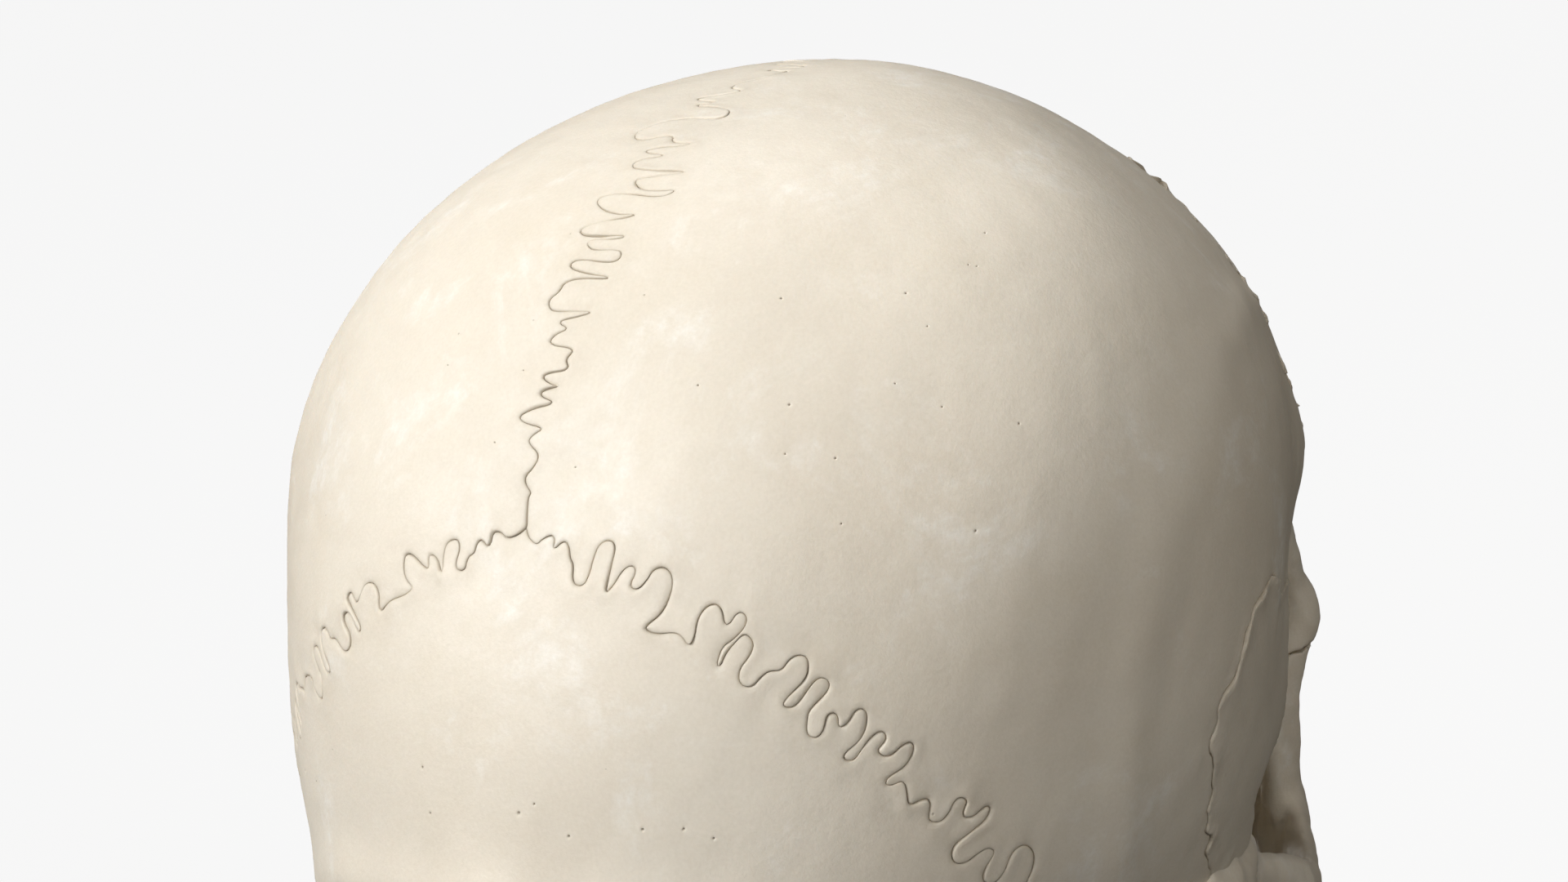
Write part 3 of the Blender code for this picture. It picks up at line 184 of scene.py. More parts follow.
def relief(x, y, z):
    """Height in mm of muscle lines and gentle unevenness over the smooth braincase."""
    ax = np.abs(x)
    h = 0.07 * SOFT(x, y, z) + 0.03 * FINE(x, y, z)
    h = h + 0.55 * near_line(ax, y, z, TEMPORAL_LINE, 3.4)
    h = h + 1.5 * near_line(ax, y, z, NUCHAL_HIGH, 4.2) + 0.9 * near_line(ax, y, z, NUCHAL_LOW, 3.6)
    h = h + 0.8 * near_line(ax, y, z, CREST, 3.0) + 3.0 * near_line(ax, y, z, [(0, 90, 3), (0.5, 90, 0)], 6.0)
    under = hump(-z, -2, 10) * hump(y, 20, 40)
    h = h + under * (0.17 * FINE(x * 0.8, y, z) + 0.05 * ROUGH(x, y, z))
    # joint faces beside the great opening, and the hollow behind each
    u, v = (ax - 14.5) * 0.93 + (y - 5) * 0.37, (y - 5) * 0.93 - (ax - 14.5) * 0.37
    h = h + 6.2 * np.exp(-((u / 4.6) ** 2 + (v / 9.5) ** 2) ** 1.6) * hump(-z, 12, 22)
    h = h - 1.6 * np.exp(-(((ax - 20) / 5) ** 2 + ((y - 20) / 6) ** 2)) * hump(-z, 12, 22)
    # the right parietal bone's rounded corner stands out; the left one is flatter
    h = h + 2.6 * near_line(x, y, z, EMINENCE, 20.0) - 0.5 * near_line(-x, y, z, EMINENCE, 24.0)
    # the side narrows behind the cheek arch
    h = h - 2.0 * np.exp(-(((ax - 58) / 10) ** 2 + ((y + 19) / 11) ** 2 + ((z - 4) / 9) ** 2))
    h = h - 2.3 * np.exp(-(((ax - 63) / 13) ** 2 + ((y + 1) / 12) ** 2 + ((z - 11) / 5.5) ** 2))
    # the right temple swells where the coronal suture crosses it
    h = h + 2.0 * np.exp(-(((x + 64) / 12) ** 2 + ((y + 14) / 15) ** 2 + ((z - 57.5) / 9) ** 2))
    h = h + 1.2 * np.exp(-(((x - 64) / 12) ** 2 + ((y + 14) / 15) ** 2 + ((z - 57.5) / 9) ** 2))
    return h


# ---- camera, by head coordinates ------------------------------------------------------------------------
EYE = np.array([-142.09, 289.98, 63.62])
RIGHT, UP, BACK = np.array([-0.88339, -0.46849, 0.0119]), np.array([0.01992, -0.01218, 0.99973]), np.array([-0.46822, 0.88338, 0.02009])
FOCAL = 2666.7


def seen(px):
    """Points of the braincase seen at these places of a 1920 by 1080 view, in head coordinates, and how squarely."""
    px = np.array(px, float)
    d = unit(RIGHT * ((px[:, :1] - 960) / FOCAL) + UP * ((540 - px[:, 1:]) / FOCAL) - BACK)
    t = np.arange(170, 430, 1.0)
    p = EYE + d[:, None] * t[None, :, None]
    v = p - CENTRE
    r = np.linalg.norm(v, axis=2)
    g = r - VAULT.radius(v / r[..., None])
    hit = (g[:, :-1] > 0) & (g[:, 1:] <= 0)
    ok = hit.any(1)
    i = hit.argmax(1)
    lo, hi = t[i], t[np.minimum(i + 1, len(t) - 1)]
    for _ in range(24):
        m = (lo + hi) / 2
        v = EYE + d * m[:, None] - CENTRE
        r = np.linalg.norm(v, axis=1)
        out = r > VAULT.exact(v / r[:, None])
        lo, hi = np.where(out, m, lo), np.where(out, hi, m)
    q = EYE + d * lo[:, None]
    n = unit(q - CENTRE)
    return q[ok], -(n * d).sum(1)[ok], ok


# ---- suture lines ----------------------------------------------------------------------------------------------
def crop(x0, y0, zoom, pts):
    return [(x0 + x / zoom, y0 + y / zoom) for x, y in pts]


SAGITTAL_SEEN = crop(300, 40, 1.96, [
    (1255, 105), (1150, 130), (1210, 140), (1060, 160), (1145, 165), (1065, 175), (1170, 180), (1150, 205), (1045, 200),
    (935, 235), (935, 258), (1030, 240), (1020, 262), (1090, 265), (970, 275), (957, 285), (1020, 290), (930, 305),
    (930, 330), (1078, 333), (1000, 343), (930, 350), (950, 378), (1000, 380), (1040, 378), (1000, 398), (920, 385),
    (850, 390), (840, 410), (880, 435), (948, 435), (900, 445), (830, 460), (798, 475), (820, 490), (915, 485),
    (905, 495), (830, 497), (820, 510), (840, 525), (905, 520), (900, 545), (870, 552), (800, 543), (775, 560),
    (800, 575), (895, 590), (800, 590), (765, 600), (755, 620), (728, 640), (730, 665), (755, 672), (843, 668),
    (800, 682), (757, 690), (755, 700), (778, 710), (740, 725), (727, 748), (795, 758), (765, 785), (780, 808),
    (720, 815), (710, 830), (745, 850)]) + crop(300, 440, 1.96, [
    (765, 60), (712, 72), (705, 88), (745, 103), (690, 118), (655, 135), (665, 152), (718, 165), (690, 180), (677, 200),
    (708, 230), (690, 262), (672, 280), (672, 300), (688, 322), (678, 330), (676, 400)])
LAMBDOID_RIGHT_SEEN = crop(300, 440, 1.96, [
    (673, 405), (680, 430), (700, 447), (715, 430), (735, 420), (745, 432), (737, 460), (765, 433), (778, 450), (778, 480),
    (785, 490), (783, 535), (800, 547), (820, 535), (840, 460), (865, 433), (888, 440), (885, 480), (860, 565), (880, 550),
    (905, 505), (930, 493), (940, 510), (922, 545), (940, 555), (965, 530), (980, 505), (1005, 498), (1025, 515),
    (1025, 555), (1000, 610), (962, 640), (960, 650), (985, 662), (1030, 655), (1050, 665), (1065, 690), (1078, 670),
    (1085, 625), (1105, 595), (1130, 586), (1145, 600), (1152, 638), (1165, 635), (1180, 610), (1195, 605), (1208, 620),
    (1200, 645), (1170, 675), (1145, 690), (1130, 735), (1140, 740), (1155, 705), (1185, 670)]) + crop(900, 700, 3.92, [
    (40, 300), (70, 305), (95, 350), (70, 410), (25, 460), (18, 520), (45, 552), (85, 553), (130, 500), (165, 472), (225, 475),
    (260, 420), (300, 395), (345, 405), (355, 440), (345, 500), (300, 555), (228, 628), (240, 650), (275, 655),
    (315, 620), (365, 545), (400, 508), (440, 508), (458, 540), (440, 580), (365, 655), (348, 690), (343, 765),
    (360, 792), (395, 797), (425, 760), (437, 695), (455, 675), (485, 675), (497, 700), (495, 735), (510, 748),
    (545, 720), (575, 665), (605, 650), (635, 670), (630, 750), (600, 810), (530, 865), (517, 895), (540, 912),
    (575, 905), (610, 850), (650, 790), (695, 757), (725, 775), (722, 810), (685, 850), (690, 870), (720, 890),
    (760, 875), (800, 830), (840, 812), (858, 830), (850, 880), (810, 940), (745, 980), (722, 1005), (730, 1025),
    (765, 1020), (795, 1003), (818, 1015), (825, 1080), (830, 1115), (850, 1120), (890, 1098), (920, 1092), (937, 1105),
    (932, 1160), (930, 1190), (955, 1205), (990, 1200), (1020, 1165), (1045, 1105), (1075, 1077), (1110, 1085),
    (1115, 1110), (1095, 1155), (1100, 1175), (1140, 1175), (1190, 1135), (1215, 1125), (1227, 1140), (1205, 1190),
    (1130, 1250), (1060, 1305), (1040, 1350), (1045, 1385), (1070, 1403), (1115, 1395), (1165, 1350), (1210, 1322),
    (1240, 1330), (1245, 1355), (1205, 1420), (1190, 1470), (1200, 1500), (1240, 1510), (1290, 1450), (1325, 1345),
    (1380, 1312), (1420, 1325), (1440, 1370), (1430, 1430), (1400, 1490)])
LAMBDOID_LEFT_SEEN = crop(340, 600, 3.92, [
    (1190, 183), (1165, 205), (1130, 225), (1095, 230), (1075, 205), (1045, 198), (1025, 215), (1020, 255), (1005, 272),
    (990, 250), (970, 235), (950, 260), (940, 305), (915, 315), (900, 350), (895, 380), (870, 390), (850, 375),
    (850, 340), (868, 280), (860, 240), (835, 237), (805, 255), (790, 310), (785, 400), (775, 385), (765, 335),
    (735, 310), (718, 320), (722, 375), (710, 380), (680, 355), (645, 315), (615, 303), (600, 325), (600, 420),
    (645, 470), (620, 495), (590, 512), (550, 525), (520, 550), (495, 580), (482, 575), (483, 500), (465, 455),
    (435, 443), (410, 460), (395, 510), (378, 543), (365, 530), (355, 495), (340, 490), (328, 520), (345, 560),
    (375, 610), (398, 660), (390, 687), (375, 660), (350, 600), (325, 582), (312, 610), (320, 650), (345, 700),
    (345, 750), (330, 777), (310, 770), (290, 735), (270, 710), (250, 718), (240, 680), (220, 655), (205, 675),
    (210, 740), (225, 790), (250, 850), (250, 880), (235, 875), (215, 830), (195, 760), (175, 745), (168, 780),
    (190, 850), (210, 910), (213, 1000), (200, 1005), (170, 950), (165, 900), (140, 890), (125, 900)])
SQUAMOUS_SEEN = [(1571.5, 742), (1570, 726), (1567.5, 713), (1564, 705), (1559, 706), (1551, 713), (1546, 722), (1542, 737), (1537, 737.5), (1533, 753), (1524, 775),
                 (1518, 792), (1514, 815), (1512, 829), (1507, 831.5), (1500, 846), (1493, 862), (1491, 876), (1490, 897),
                 (1485, 905.5), (1487, 919.5), (1484, 931), (1484.6, 940), (1480, 951), (1480, 995), (1479, 1014),
                 (1481.5, 1046), (1483, 1061), (1480, 1080)]


def flowing(p, gap=0.3, passes=1):
    """A line of even steps through the points, rounded at the corners."""
    p = np.asarray(p, float)
    for _ in range(passes):
        a, b = p[:-1], p[1:]
        mid = np.empty((2 * len(a), 3))
        mid[0::2], mid[1::2] = a * 0.75 + b * 0.25, a * 0.25 + b * 0.75
        p = np.vstack([p[:1], mid, p[-1:]])
    s = np.concatenate([[0], np.cumsum(np.linalg.norm(np.diff(p, axis=0), axis=1))])
    n = max(2, int(round(s[-1] / gap)))
    at = np.linspace(0, s[-1], n + 1)
    return np.stack([np.interp(at, s, p[:, k]) for k in range(3)], axis=1)


def on_vault(p):
    d = unit(np.asarray(p, float) - CENTRE)
    return CENTRE + d * VAULT.exact(d)[:, None]


def spline(stations, gap=0.3):
    p = np.array(stations, float)
    n = len(p)
    out = []
    for i in range(n - 1):
        a, b = p[max(i - 1, 0)], p[min(i + 2, n - 1)]
        m = max(2, int(round(np.linalg.norm(p[i + 1] - p[i]) / gap)))
        t = (np.arange(m) / m)[:, None]
        out.append(0.5 * (2 * p[i] + (p[i + 1] - a) * t + (2 * a - 5 * p[i] + 4 * p[i + 1] - b) * t * t
                          + (3 * p[i] - a - 3 * p[i + 1] + b) * t ** 3))
    return np.vstack(out + [p[-1:]])


def wandering(stations, seed, depth=1.7, pitch=3.6, wild=0.6):
    """A suture line through the stations whose fingers vary in length and width, like jigsaw tongues."""
    p = on_vault(spline(stations, 0.25))
    g = np.random.default_rng(seed)
    s = np.concatenate([[0], np.cumsum(np.linalg.norm(np.diff(p, axis=0), axis=1))])
    at, knots, k = 0.0, [], 0
    while at < s[-1] - 0.35 * pitch:
        a = depth * (1 + wild * g.uniform(-1, 0.8)) * (1 if k % 2 else -1) * min(1, (at + 0.6) / 5, (s[-1] - at) / 5 + 0.05)
        knots.append((at, a, g.uniform(-0.18, 0.18) * pitch))
        at += pitch * 0.5 * (1 + 0.45 * g.uniform(-1, 1))
        k += 1
    along_ = unit(np.gradient(p, axis=0))
    across = unit(np.cross(unit(p - CENTRE), along_))
    pts = [p[0]]
    for t, a, lean in knots[1:]:
        i = int(np.searchsorted(s, t))
        c, u, w = p[min(i, len(p) - 1)], along_[min(i, len(p) - 1)], across[min(i, len(p) - 1)]
        bulb = min(0.3 * pitch, abs(a) * 0.45)
        pts += [c + w * a * 0.55 - u * bulb * 0.55, c + w * a + u * (lean - bulb * 0.45), c + w * a * 1.02 + u * (lean + bulb * 0.45),
                c + w * a * 0.5 + u * bulb * 0.6]
    pts.append(p[-1])
    return flowing(np.array(pts), 0.3, 2)


def uncrossed(p):
    """Cuts out any place where the line crosses itself, seen from the centre."""
    for _ in range(12):
        d = unit(p - CENTRE)
        axis = unit(d.mean(0))
        e1 = unit(np.cross([0.1, 0.2, 1.0], axis))
        e2 = np.cross(axis, e1)
        q = np.stack([d @ e1, d @ e2], axis=1) / (1 + d @ axis)[:, None]
        a, b = q[:-1], q[1:]
        r = b - a
        n = len(a)
        cut = None
        for i in range(n - 2):
            c, e = a[i + 2:], r[i + 2:]
            den = r[i, 0] * e[:, 1] - r[i, 1] * e[:, 0]
            den = np.where(np.abs(den) < 1e-15, 1e-15, den)
            t = ((c[:, 0] - a[i, 0]) * e[:, 1] - (c[:, 1] - a[i, 1]) * e[:, 0]) / den
            u = ((c[:, 0] - a[i, 0]) * r[i, 1] - (c[:, 1] - a[i, 1]) * r[i, 0]) / den
            hit = np.nonzero((t >= 0) & (t <= 1) & (u >= 0) & (u <= 1))[0]
            if len(hit):
                cut = (i, i + 2 + int(hit[-1]))
                break
        if cut is None:
            return p
        i, j = cut
        if j - i > 0.5 * n:
            return p
        p = np.vstack([p[:max(i, 1)], p[j + 1:]])
    return p


# ---- cells of the braincase -------------------------------------------------------------------------------------
R0 = 72.0          # radians on the chart to mm


def chart(axis):
    axis = unit(axis)
    up = np.array([0, 0, 1.0]) if abs(axis[2]) < 0.9 else np.array([0, 1.0, 0])
    e1 = unit(np.cross(up, axis))
    e2 = np.cross(axis, e1)

    def flat(x, y, z):
        """Unit direction to the chart, in mm."""
        u, v, w = (x * e[0] + y * e[1] + z * e[2] for e in (e1, e2, axis))
        s = np.sqrt(u * u + v * v)
        t = np.arctan2(s, w)
        k = np.where(s > 1e-6, t / np.maximum(s, 1e-6), 1.0) * R0
        return u * k, v * k

    def back(uv):
        uv = uv / R0
        t = np.hypot(uv[:, 0], uv[:, 1])
        k = np.where(t > 1e-9, np.sin(t) / np.maximum(t, 1e-9), 1.0)
        return np.cos(t)[:, None] * axis + (uv[:, :1] * k[:, None]) * e1 + (uv[:, 1:] * k[:, None]) * e2

    return flat, back


class Cell:
    """A patch of directions inside a closed line, with the distance to that line in mm (positive inside)."""

    def __init__(self, axis, loop, holes=(), grid=0.3, band=4.0):
        self.flat, self.back = chart(axis)
        self.rings = []
        for ring in [loop] + list(holes):
            d = unit(ring - CENTRE)
            self.rings.append(np.stack(self.flat(d[:, 0], d[:, 1], d[:, 2]), axis=1))
        q = self.rings[0]
        self.g, self.band = grid, band
        self.lo = q.min(0) - band - 1
        n = np.ceil((q.max(0) + band + 1 - self.lo) / grid).astype(int) + 1
        xs, ys = self.lo[0] + np.arange(n[0]) * grid, self.lo[1] + np.arange(n[1]) * grid
        far = np.full((n[0], n[1]), band, np.float32)
        odd = np.zeros((n[0], n[1]), bool)
        for ring in self.rings:
            a, b = ring, np.roll(ring, -1, axis=0)
            for p, r in zip(a, b):
                i0, j0 = ((np.minimum(p, r) - band - self.lo) / grid).astype(int)
                i1, j1 = ((np.maximum(p, r) + band - self.lo) / grid).astype(int) + 2
                i0, j0 = max(i0, 0), max(j0, 0)
                x, y = xs[i0:i1, None] - p[0], ys[None, j0:j1] - p[1]
                d = r - p
                t = np.clip((x * d[0] + y * d[1]) / max(float(d @ d), 1e-12), 0, 1)
                e = np.sqrt((x - t * d[0]) ** 2 + (y - t * d[1]) ** 2)
                far[i0:i1, j0:j1] = np.minimum(far[i0:i1, j0:j1], e)
            # even-odd fill, one grid line after another
            up = (a[:, 0, None] > xs) != (b[:, 0, None] > xs)
            seg, col = np.nonzero(up)
            cross = a[seg, 1] + (xs[col] - a[seg, 0]) * (b[seg, 1] - a[seg, 1]) / (b[seg, 0] - a[seg, 0])
            j = np.clip(np.ceil((cross - self.lo[1]) / grid).astype(int), 0, n[1] - 1)
            flips = np.zeros((n[0], n[1]), int)
            np.add.at(flips, (col, j), 1)
            odd ^= (np.cumsum(flips, axis=1) % 2).astype(bool)
        self.sd = np.where(odd, far, -far).astype(np.float32)

    def look(self, u, v):
        a, b = (u - self.lo[0]) / self.g, (v - self.lo[1]) / self.g
        i = np.clip(a.astype(np.int32), 0, self.sd.shape[0] - 2)
        j = np.clip(b.astype(np.int32), 0, self.sd.shape[1] - 2)
        a, b = np.clip(a - i, 0, 1), np.clip(b - j, 0, 1)
        t = self.sd
        return (t[i, j] * (1 - a) + t[i + 1, j] * a) * (1 - b) + (t[i, j + 1] * (1 - a) + t[i + 1, j + 1] * a) * b

    def distance(self, x, y, z):
        """For unit directions."""
        return self.look(*self.flat(x, y, z))


def narrowed(loop, by):
    area = 0.5 * np.sum(loop[:, 0] * np.roll(loop[:, 1], -1) - loop[:, 1] * np.roll(loop[:, 0], -1))
    e0, e1 = loop - np.roll(loop, 1, axis=0), np.roll(loop, -1, axis=0) - loop
    n0 = unit(np.stack([-e0[:, 1], e0[:, 0]], axis=1) + 1e-12)
    n1 = unit(np.stack([-e1[:, 1], e1[:, 0]], axis=1) + 1e-12)
    n = n0 + n1
    n = n / np.maximum(np.linalg.norm(n, axis=1, keepdims=True), 0.6)
    return loop + n * (by if area > 0 else -by)


PIECES = {}


def finished(name, verts, faces, nodes=None, extra=None, smooth=True, mirror=False):
    """A shown piece from head coordinates; faces is an (n, 3) or (n, 4) array."""
    v = np.asarray(verts, float)
    f = np.asarray(faces, np.int32)
    if mirror:
        v = v * [-1, 1, 1]
        f = f[:, ::-1]
    mesh = bpy.data.meshes.new(name)
    w = placed(v)
    w[:, 2] = np.maximum(w[:, 2], 0.0)
    k = f.shape[1]
    mesh.vertices.add(len(w))
    mesh.vertices.foreach_set("co", w.astype(np.float32).ravel())
    mesh.loops.add(f.size)
    mesh.loops.foreach_set("vertex_index", f.ravel())
    mesh.polygons.add(len(f))
    mesh.polygons.foreach_set("loop_start", np.arange(0, f.size, k, dtype=np.int32))
    mesh.polygons.foreach_set("use_smooth", np.full(len(f), smooth))
    mesh.update(calc_edges=True)
    mesh.validate()
    for key, val in (extra or {}).items():
        a = mesh.attributes.new(key, "FLOAT", "POINT")
        a.data.foreach_set("value", np.asarray(val, np.float32))
    o = bpy.data.objects.new(name, mesh)
    bpy.context.scene.collection.objects.link(o)
    PIECES[name] = (o, nodes)
    return o


def lip(d, seed, x, y, z):
    """Height of a bone near its edge: rounded over, and a little higher or lower than its neighbour."""
    t = np.clip(d, 0, None)
    deep = 0.16 * (1 + 0.55 * waves(seed + 7, 3, 9, 12)(x, y, z))
    round_ = -np.maximum(deep, 0.05) * np.clip(1 - t / 0.26, 0, 1) ** 2
    step = (0.075 * waves(seed, 4, 14, 12)(x, y, z)) * np.exp(-t / 1.1)
    rim = 0.035 * np.exp(-((t - 0.7) / 0.4) ** 2)
    return round_ + step + rim


def pores():
    """Where small openings pierce the outer skin of the braincase, and how wide they are, mm."""
    q, square, ok = seen([p[:2] for p in PORES_SEEN])
    size = np.array([p[2] for p in PORES_SEEN])[ok]
    g = np.random.default_rng(71)
    d = unit(g.normal(size=(150, 3)))
    d = d[(d[:, 2] > -0.75)]
    more = CENTRE + d * VAULT.exact(d)[:, None]
    # none where the view already shows the bone closely
    view = (more - EYE) @ np.stack([RIGHT, UP, BACK], axis=1)
    u, v = 960 - view[:, 0] / view[:, 2] * FOCAL, 540 + view[:, 1] / view[:, 2] * FOCAL
    faced = (unit(more - CENTRE) * unit(EYE - more)).sum(1) > 0.3
    more = more[~(faced & (u > 0) & (u < 1920) & (v > 0) & (v < 1080))]
    return np.vstack([q, more]), np.concatenate([size, g.uniform(0.10, 0.24, len(more))])


def plate(cell, thick, seed, inner=None, gap=0.022, outer_lift=None):
    """A bone of the braincase wall: both surfaces, and walls along the suture that point at the centre."""
    rings = [narrowed(r, gap) if i == 0 else narrowed(r, -gap) for i, r in enumerate(cell.rings)]
    pts, edges = [], []
    tree = KDTree(int(sum(len(r) for r in rings)) * 6)
    k = 0
    for r in rings:
        n0 = len(pts)
        pts.extend(r)
        edges.extend([(n0 + i, n0 + (i + 1) % len(r)) for i in range(len(r))])
        nxt = np.roll(r, -1, axis=0)
        for f in np.arange(6) / 6.0:
            for u, v in r + (nxt - r) * f:
                tree.insert((u, v, 0.0), k)
                k += 1
    tree.balance()
    for i, r in enumerate(rings):
        for by in (0.11, 0.26):
            row = narrowed(r, by if i == 0 else -by)
            row = row[cell.look(row[:, 0], row[:, 1]) > 0.0]
            pts.extend(u for u in row if tree.find((u[0], u[1], 0.0))[2] > 0.75 * by)
    lo, hi = rings[0].min(0), rings[0].max(0)
    for step, near, until in ((0.36, 0.42, 0.8), (0.55, 0.8, 1.4), (0.95, 1.4, 2.6), (1.7, 2.6, 99)):
        gx, gy = np.meshgrid(np.arange(lo[0], hi[0], step), np.arange(lo[1], hi[1], step * 0.866))
        gx = gx + (np.arange(gx.shape[0])[:, None] % 2) * step / 2
        gx, gy = gx.ravel(), gy.ravel()
        d = cell.look(gx, gy)
        keep = (d >= near) & (d < until)
        pts.extend(np.stack([gx[keep], gy[keep]], axis=1))
    dots, wide = [], []
    at = unit(PORE_AT - CENTRE)
    fu, fv = cell.flat(at[:, 0], at[:, 1], at[:, 2])
    for u, v, w, front in zip(fu, fv, PORE_WIDE, at @ cell.back(np.zeros((1, 2)))[0]):
        if front > 0.1 and cell.lo[0] < u and cell.lo[1] < v and cell.look(np.array([u]), np.array([v]))[0] > 0.3:
            dots.append((u, v))
            wide.append(w)
            pts.append(np.array([u, v]))
            for m, part in ((6, 0.3), (8, 0.6), (10, 0.95), (10, 2.0)):
                a = np.arange(m) * 2 * math.pi / m + part
                pts.extend(np.stack([u + w * part * np.cos(a), v + w * part * np.sin(a)], axis=1))
    out = delaunay_2d_cdt([Vector(p) for p in pts], edges, [], 0, 1e-6)
    q = np.array([tuple(p) for p in out[0]])
    tri = np.array([f for f in out[2]])
    c = q[tri].mean(1)
    a, b = q[tri[:, 1]] - q[tri[:, 0]], q[tri[:, 2]] - q[tri[:, 0]]
    flip = a[:, 0] * b[:, 1] - a[:, 1] * b[:, 0] < 0
    tri[flip] = tri[flip][:, ::-1]
    keep = inside(c, rings)
    tri = tri[keep]
    d = cell.back(q)
    sd = np.maximum(cell.look(q[:, 0], q[:, 1]), 0)
    for i in np.nonzero(sd < 1.2)[0]:
        sd[i] = tree.find((q[i, 0], q[i, 1], 0.0))[2]
    # pit marks the pore dents; the bone material also paints shade there
    pit = np.zeros(len(q))
    for (u, v), w in zip(dots, wide):
        pit = np.maximum(pit, np.clip(1.2 - np.hypot(q[:, 0] - u, q[:, 1] - v) / (0.62 * w), 0, 1))
    r = VAULT.exact(d)
    p = CENTRE + d * r[:, None]
    t = thick(p) if callable(thick) else np.full(len(d), float(thick))
    r_out = r + relief(*p.T) + lip(sd, seed, *p.T) - 0.22 * pit
    if outer_lift is not None:
        r_out = r_out + outer_lift(p, sd)
    r_in = r - t + 0.25 * np.clip(1 - sd / 0.5, 0, 1) ** 2
    if inner is not None:
        r_in = r_in + inner(p)
    outer, inner_ = CENTRE + d * r_out[:, None], CENTRE + d * r_in[:, None]
    n = len(q)
    e = np.concatenate([tri[:, [0, 1]], tri[:, [1, 2]], tri[:, [2, 0]]])
    key = e[:, 0].astype(np.int64) * n + e[:, 1]
    back_key = e[:, 1].astype(np.int64) * n + e[:, 0]
    rim = e[~np.isin(key, back_key)]
    faces = np.vstack([tri, tri[:, ::-1] + n, np.stack([rim[:, 1], rim[:, 0], rim[:, 0] + n], 1),
                       np.stack([rim[:, 1], rim[:, 0] + n, rim[:, 1] + n], 1)])
    pos = np.vstack([outer, inner_])
    used, idx = np.unique(faces, return_inverse=True)
    # seam and near drive the bone material's edge darkening: near a patchy brownish band, seam a painted shade line for
    # the suture groove
    edge = np.concatenate([np.exp(-sd / 0.22), np.exp(-sd / 0.22)])
    near = np.concatenate([np.exp(-sd / 2.6), np.exp(-sd / 2.6)])
    pit = np.concatenate([pit, 0 * pit])
    return pos[used], idx.reshape(faces.shape), {"seam": edge[used], "near": near[used], "pit": pit[used]}


def inside(c, rings):
    odd = np.zeros(len(c), bool)
    for ring in rings:
        a, b = ring, np.roll(ring, -1, axis=0)
        for s in range(0, len(c), 4000):
            x, y = c[s:s + 4000, 0:1], c[s:s + 4000, 1:2]
            with np.errstate(divide="ignore", invalid="ignore"):
                hit = ((a[:, 1] > y) != (b[:, 1] > y)) & (x < (b[:, 0] - a[:, 0]) * (y - a[:, 1]) / (b[:, 1] - a[:, 1]) + a[:, 0])
            odd[s:s + 4000] ^= hit.sum(1) % 2 == 1
    return odd


# small openings, by their place in the view and half width in mm
PORES_SEEN = [(957, 367, 0.20), (1107, 367, 0.20), (1200, 298, 0.14), (1132, 408, 0.14), (855, 472, 0.18), (967, 497, 0.22), (962, 557, 0.16),
              (1023, 563, 0.18), (1030, 642, 0.14), (1187, 651, 0.20), (1238, 525, 0.16), (1094, 475, 0.13), (1149, 504, 0.13), (1190, 338, 0.13),
              (1180, 336, 0.11), (517, 940, 0.22), (527, 996, 0.20), (635, 996, 0.26), (654, 985, 0.18), (787, 1016, 0.22), (837, 1016, 0.22),
              (874, 1027, 0.20), (696, 1025, 0.22), (606, 542, 0.15), (704, 572, 0.15), (640, 453, 0.14), (548, 447, 0.14), (1567, 712, 0.18), (1569.5, 724, 0.18), (1562, 721, 0.12), (1552, 729, 0.14)]
PORE_AT, PORE_WIDE = pores()


# ---- the lines themselves -----------------------------------------------------------------------------------------
def joined(*parts):
    out = [parts[0]]
    for p in parts[1:]:
        out.append(p[1:] if np.linalg.norm(p[0] - out[-1][-1]) < 0.05 else p)
    return np.vstack(out)


def photo_line(px):
    q, square, ok = seen(px)
    return q[square > 0.08]


BREGMA = on_vault([(0, -4, 109)])[0]
sag = photo_line(SAGITTAL_SEEN)
lam_r = photo_line(LAMBDOID_RIGHT_SEEN)
lam_l = photo_line(LAMBDOID_LEFT_SEEN)
LAMBDA = lam_r[0]
sag_front = wandering([BREGMA, (0, 4, 110), sag[0]], 11, 2.6, 4.4)
ASTERION = {s: on_vault([(53.5 * s, 51, 0)])[0] for s in (1, -1)}
EAR_END = {s: on_vault([(61.8 * s, 25, 2.5)])[0] for s in (1, -1)}
PTERION = {s: on_vault([(60 * s, -34, 42)])[0] for s in (1, -1)}
WING_TOP = {s: on_vault([(62.5 * s, -24, 38.5)])[0] for s in (1, -1)}
SEAMS = {}
SEAMS["sagittal"] = uncrossed(joined(sag_front, flowing(np.vstack([sag_front[-1:], sag, LAMBDA[None]]), 0.3, 2)))
tail_r = wandering([lam_r[-1], (-51, 61, 8), ASTERION[-1]], 21, 2.0, 4.6)
tail_l = wandering([lam_l[-1], (50.5, 61.5, 8.5), ASTERION[1]], 22, 2.2, 4.4)
SEAMS["lambdoid", -1] = uncrossed(joined(flowing(lam_r, 0.3, 2), tail_r))
SEAMS["lambdoid", 1] = uncrossed(joined(flowing(np.vstack([LAMBDA[None], lam_l[1:]]), 0.3, 2), tail_l))
squam = photo_line(SQUAMOUS_SEEN)[::-1] * [-1, 1, 1]
SQUAM_FRONT = [(67.4, -4, 39.5), (65, -14, 38.4), tuple(WING_TOP[1])]
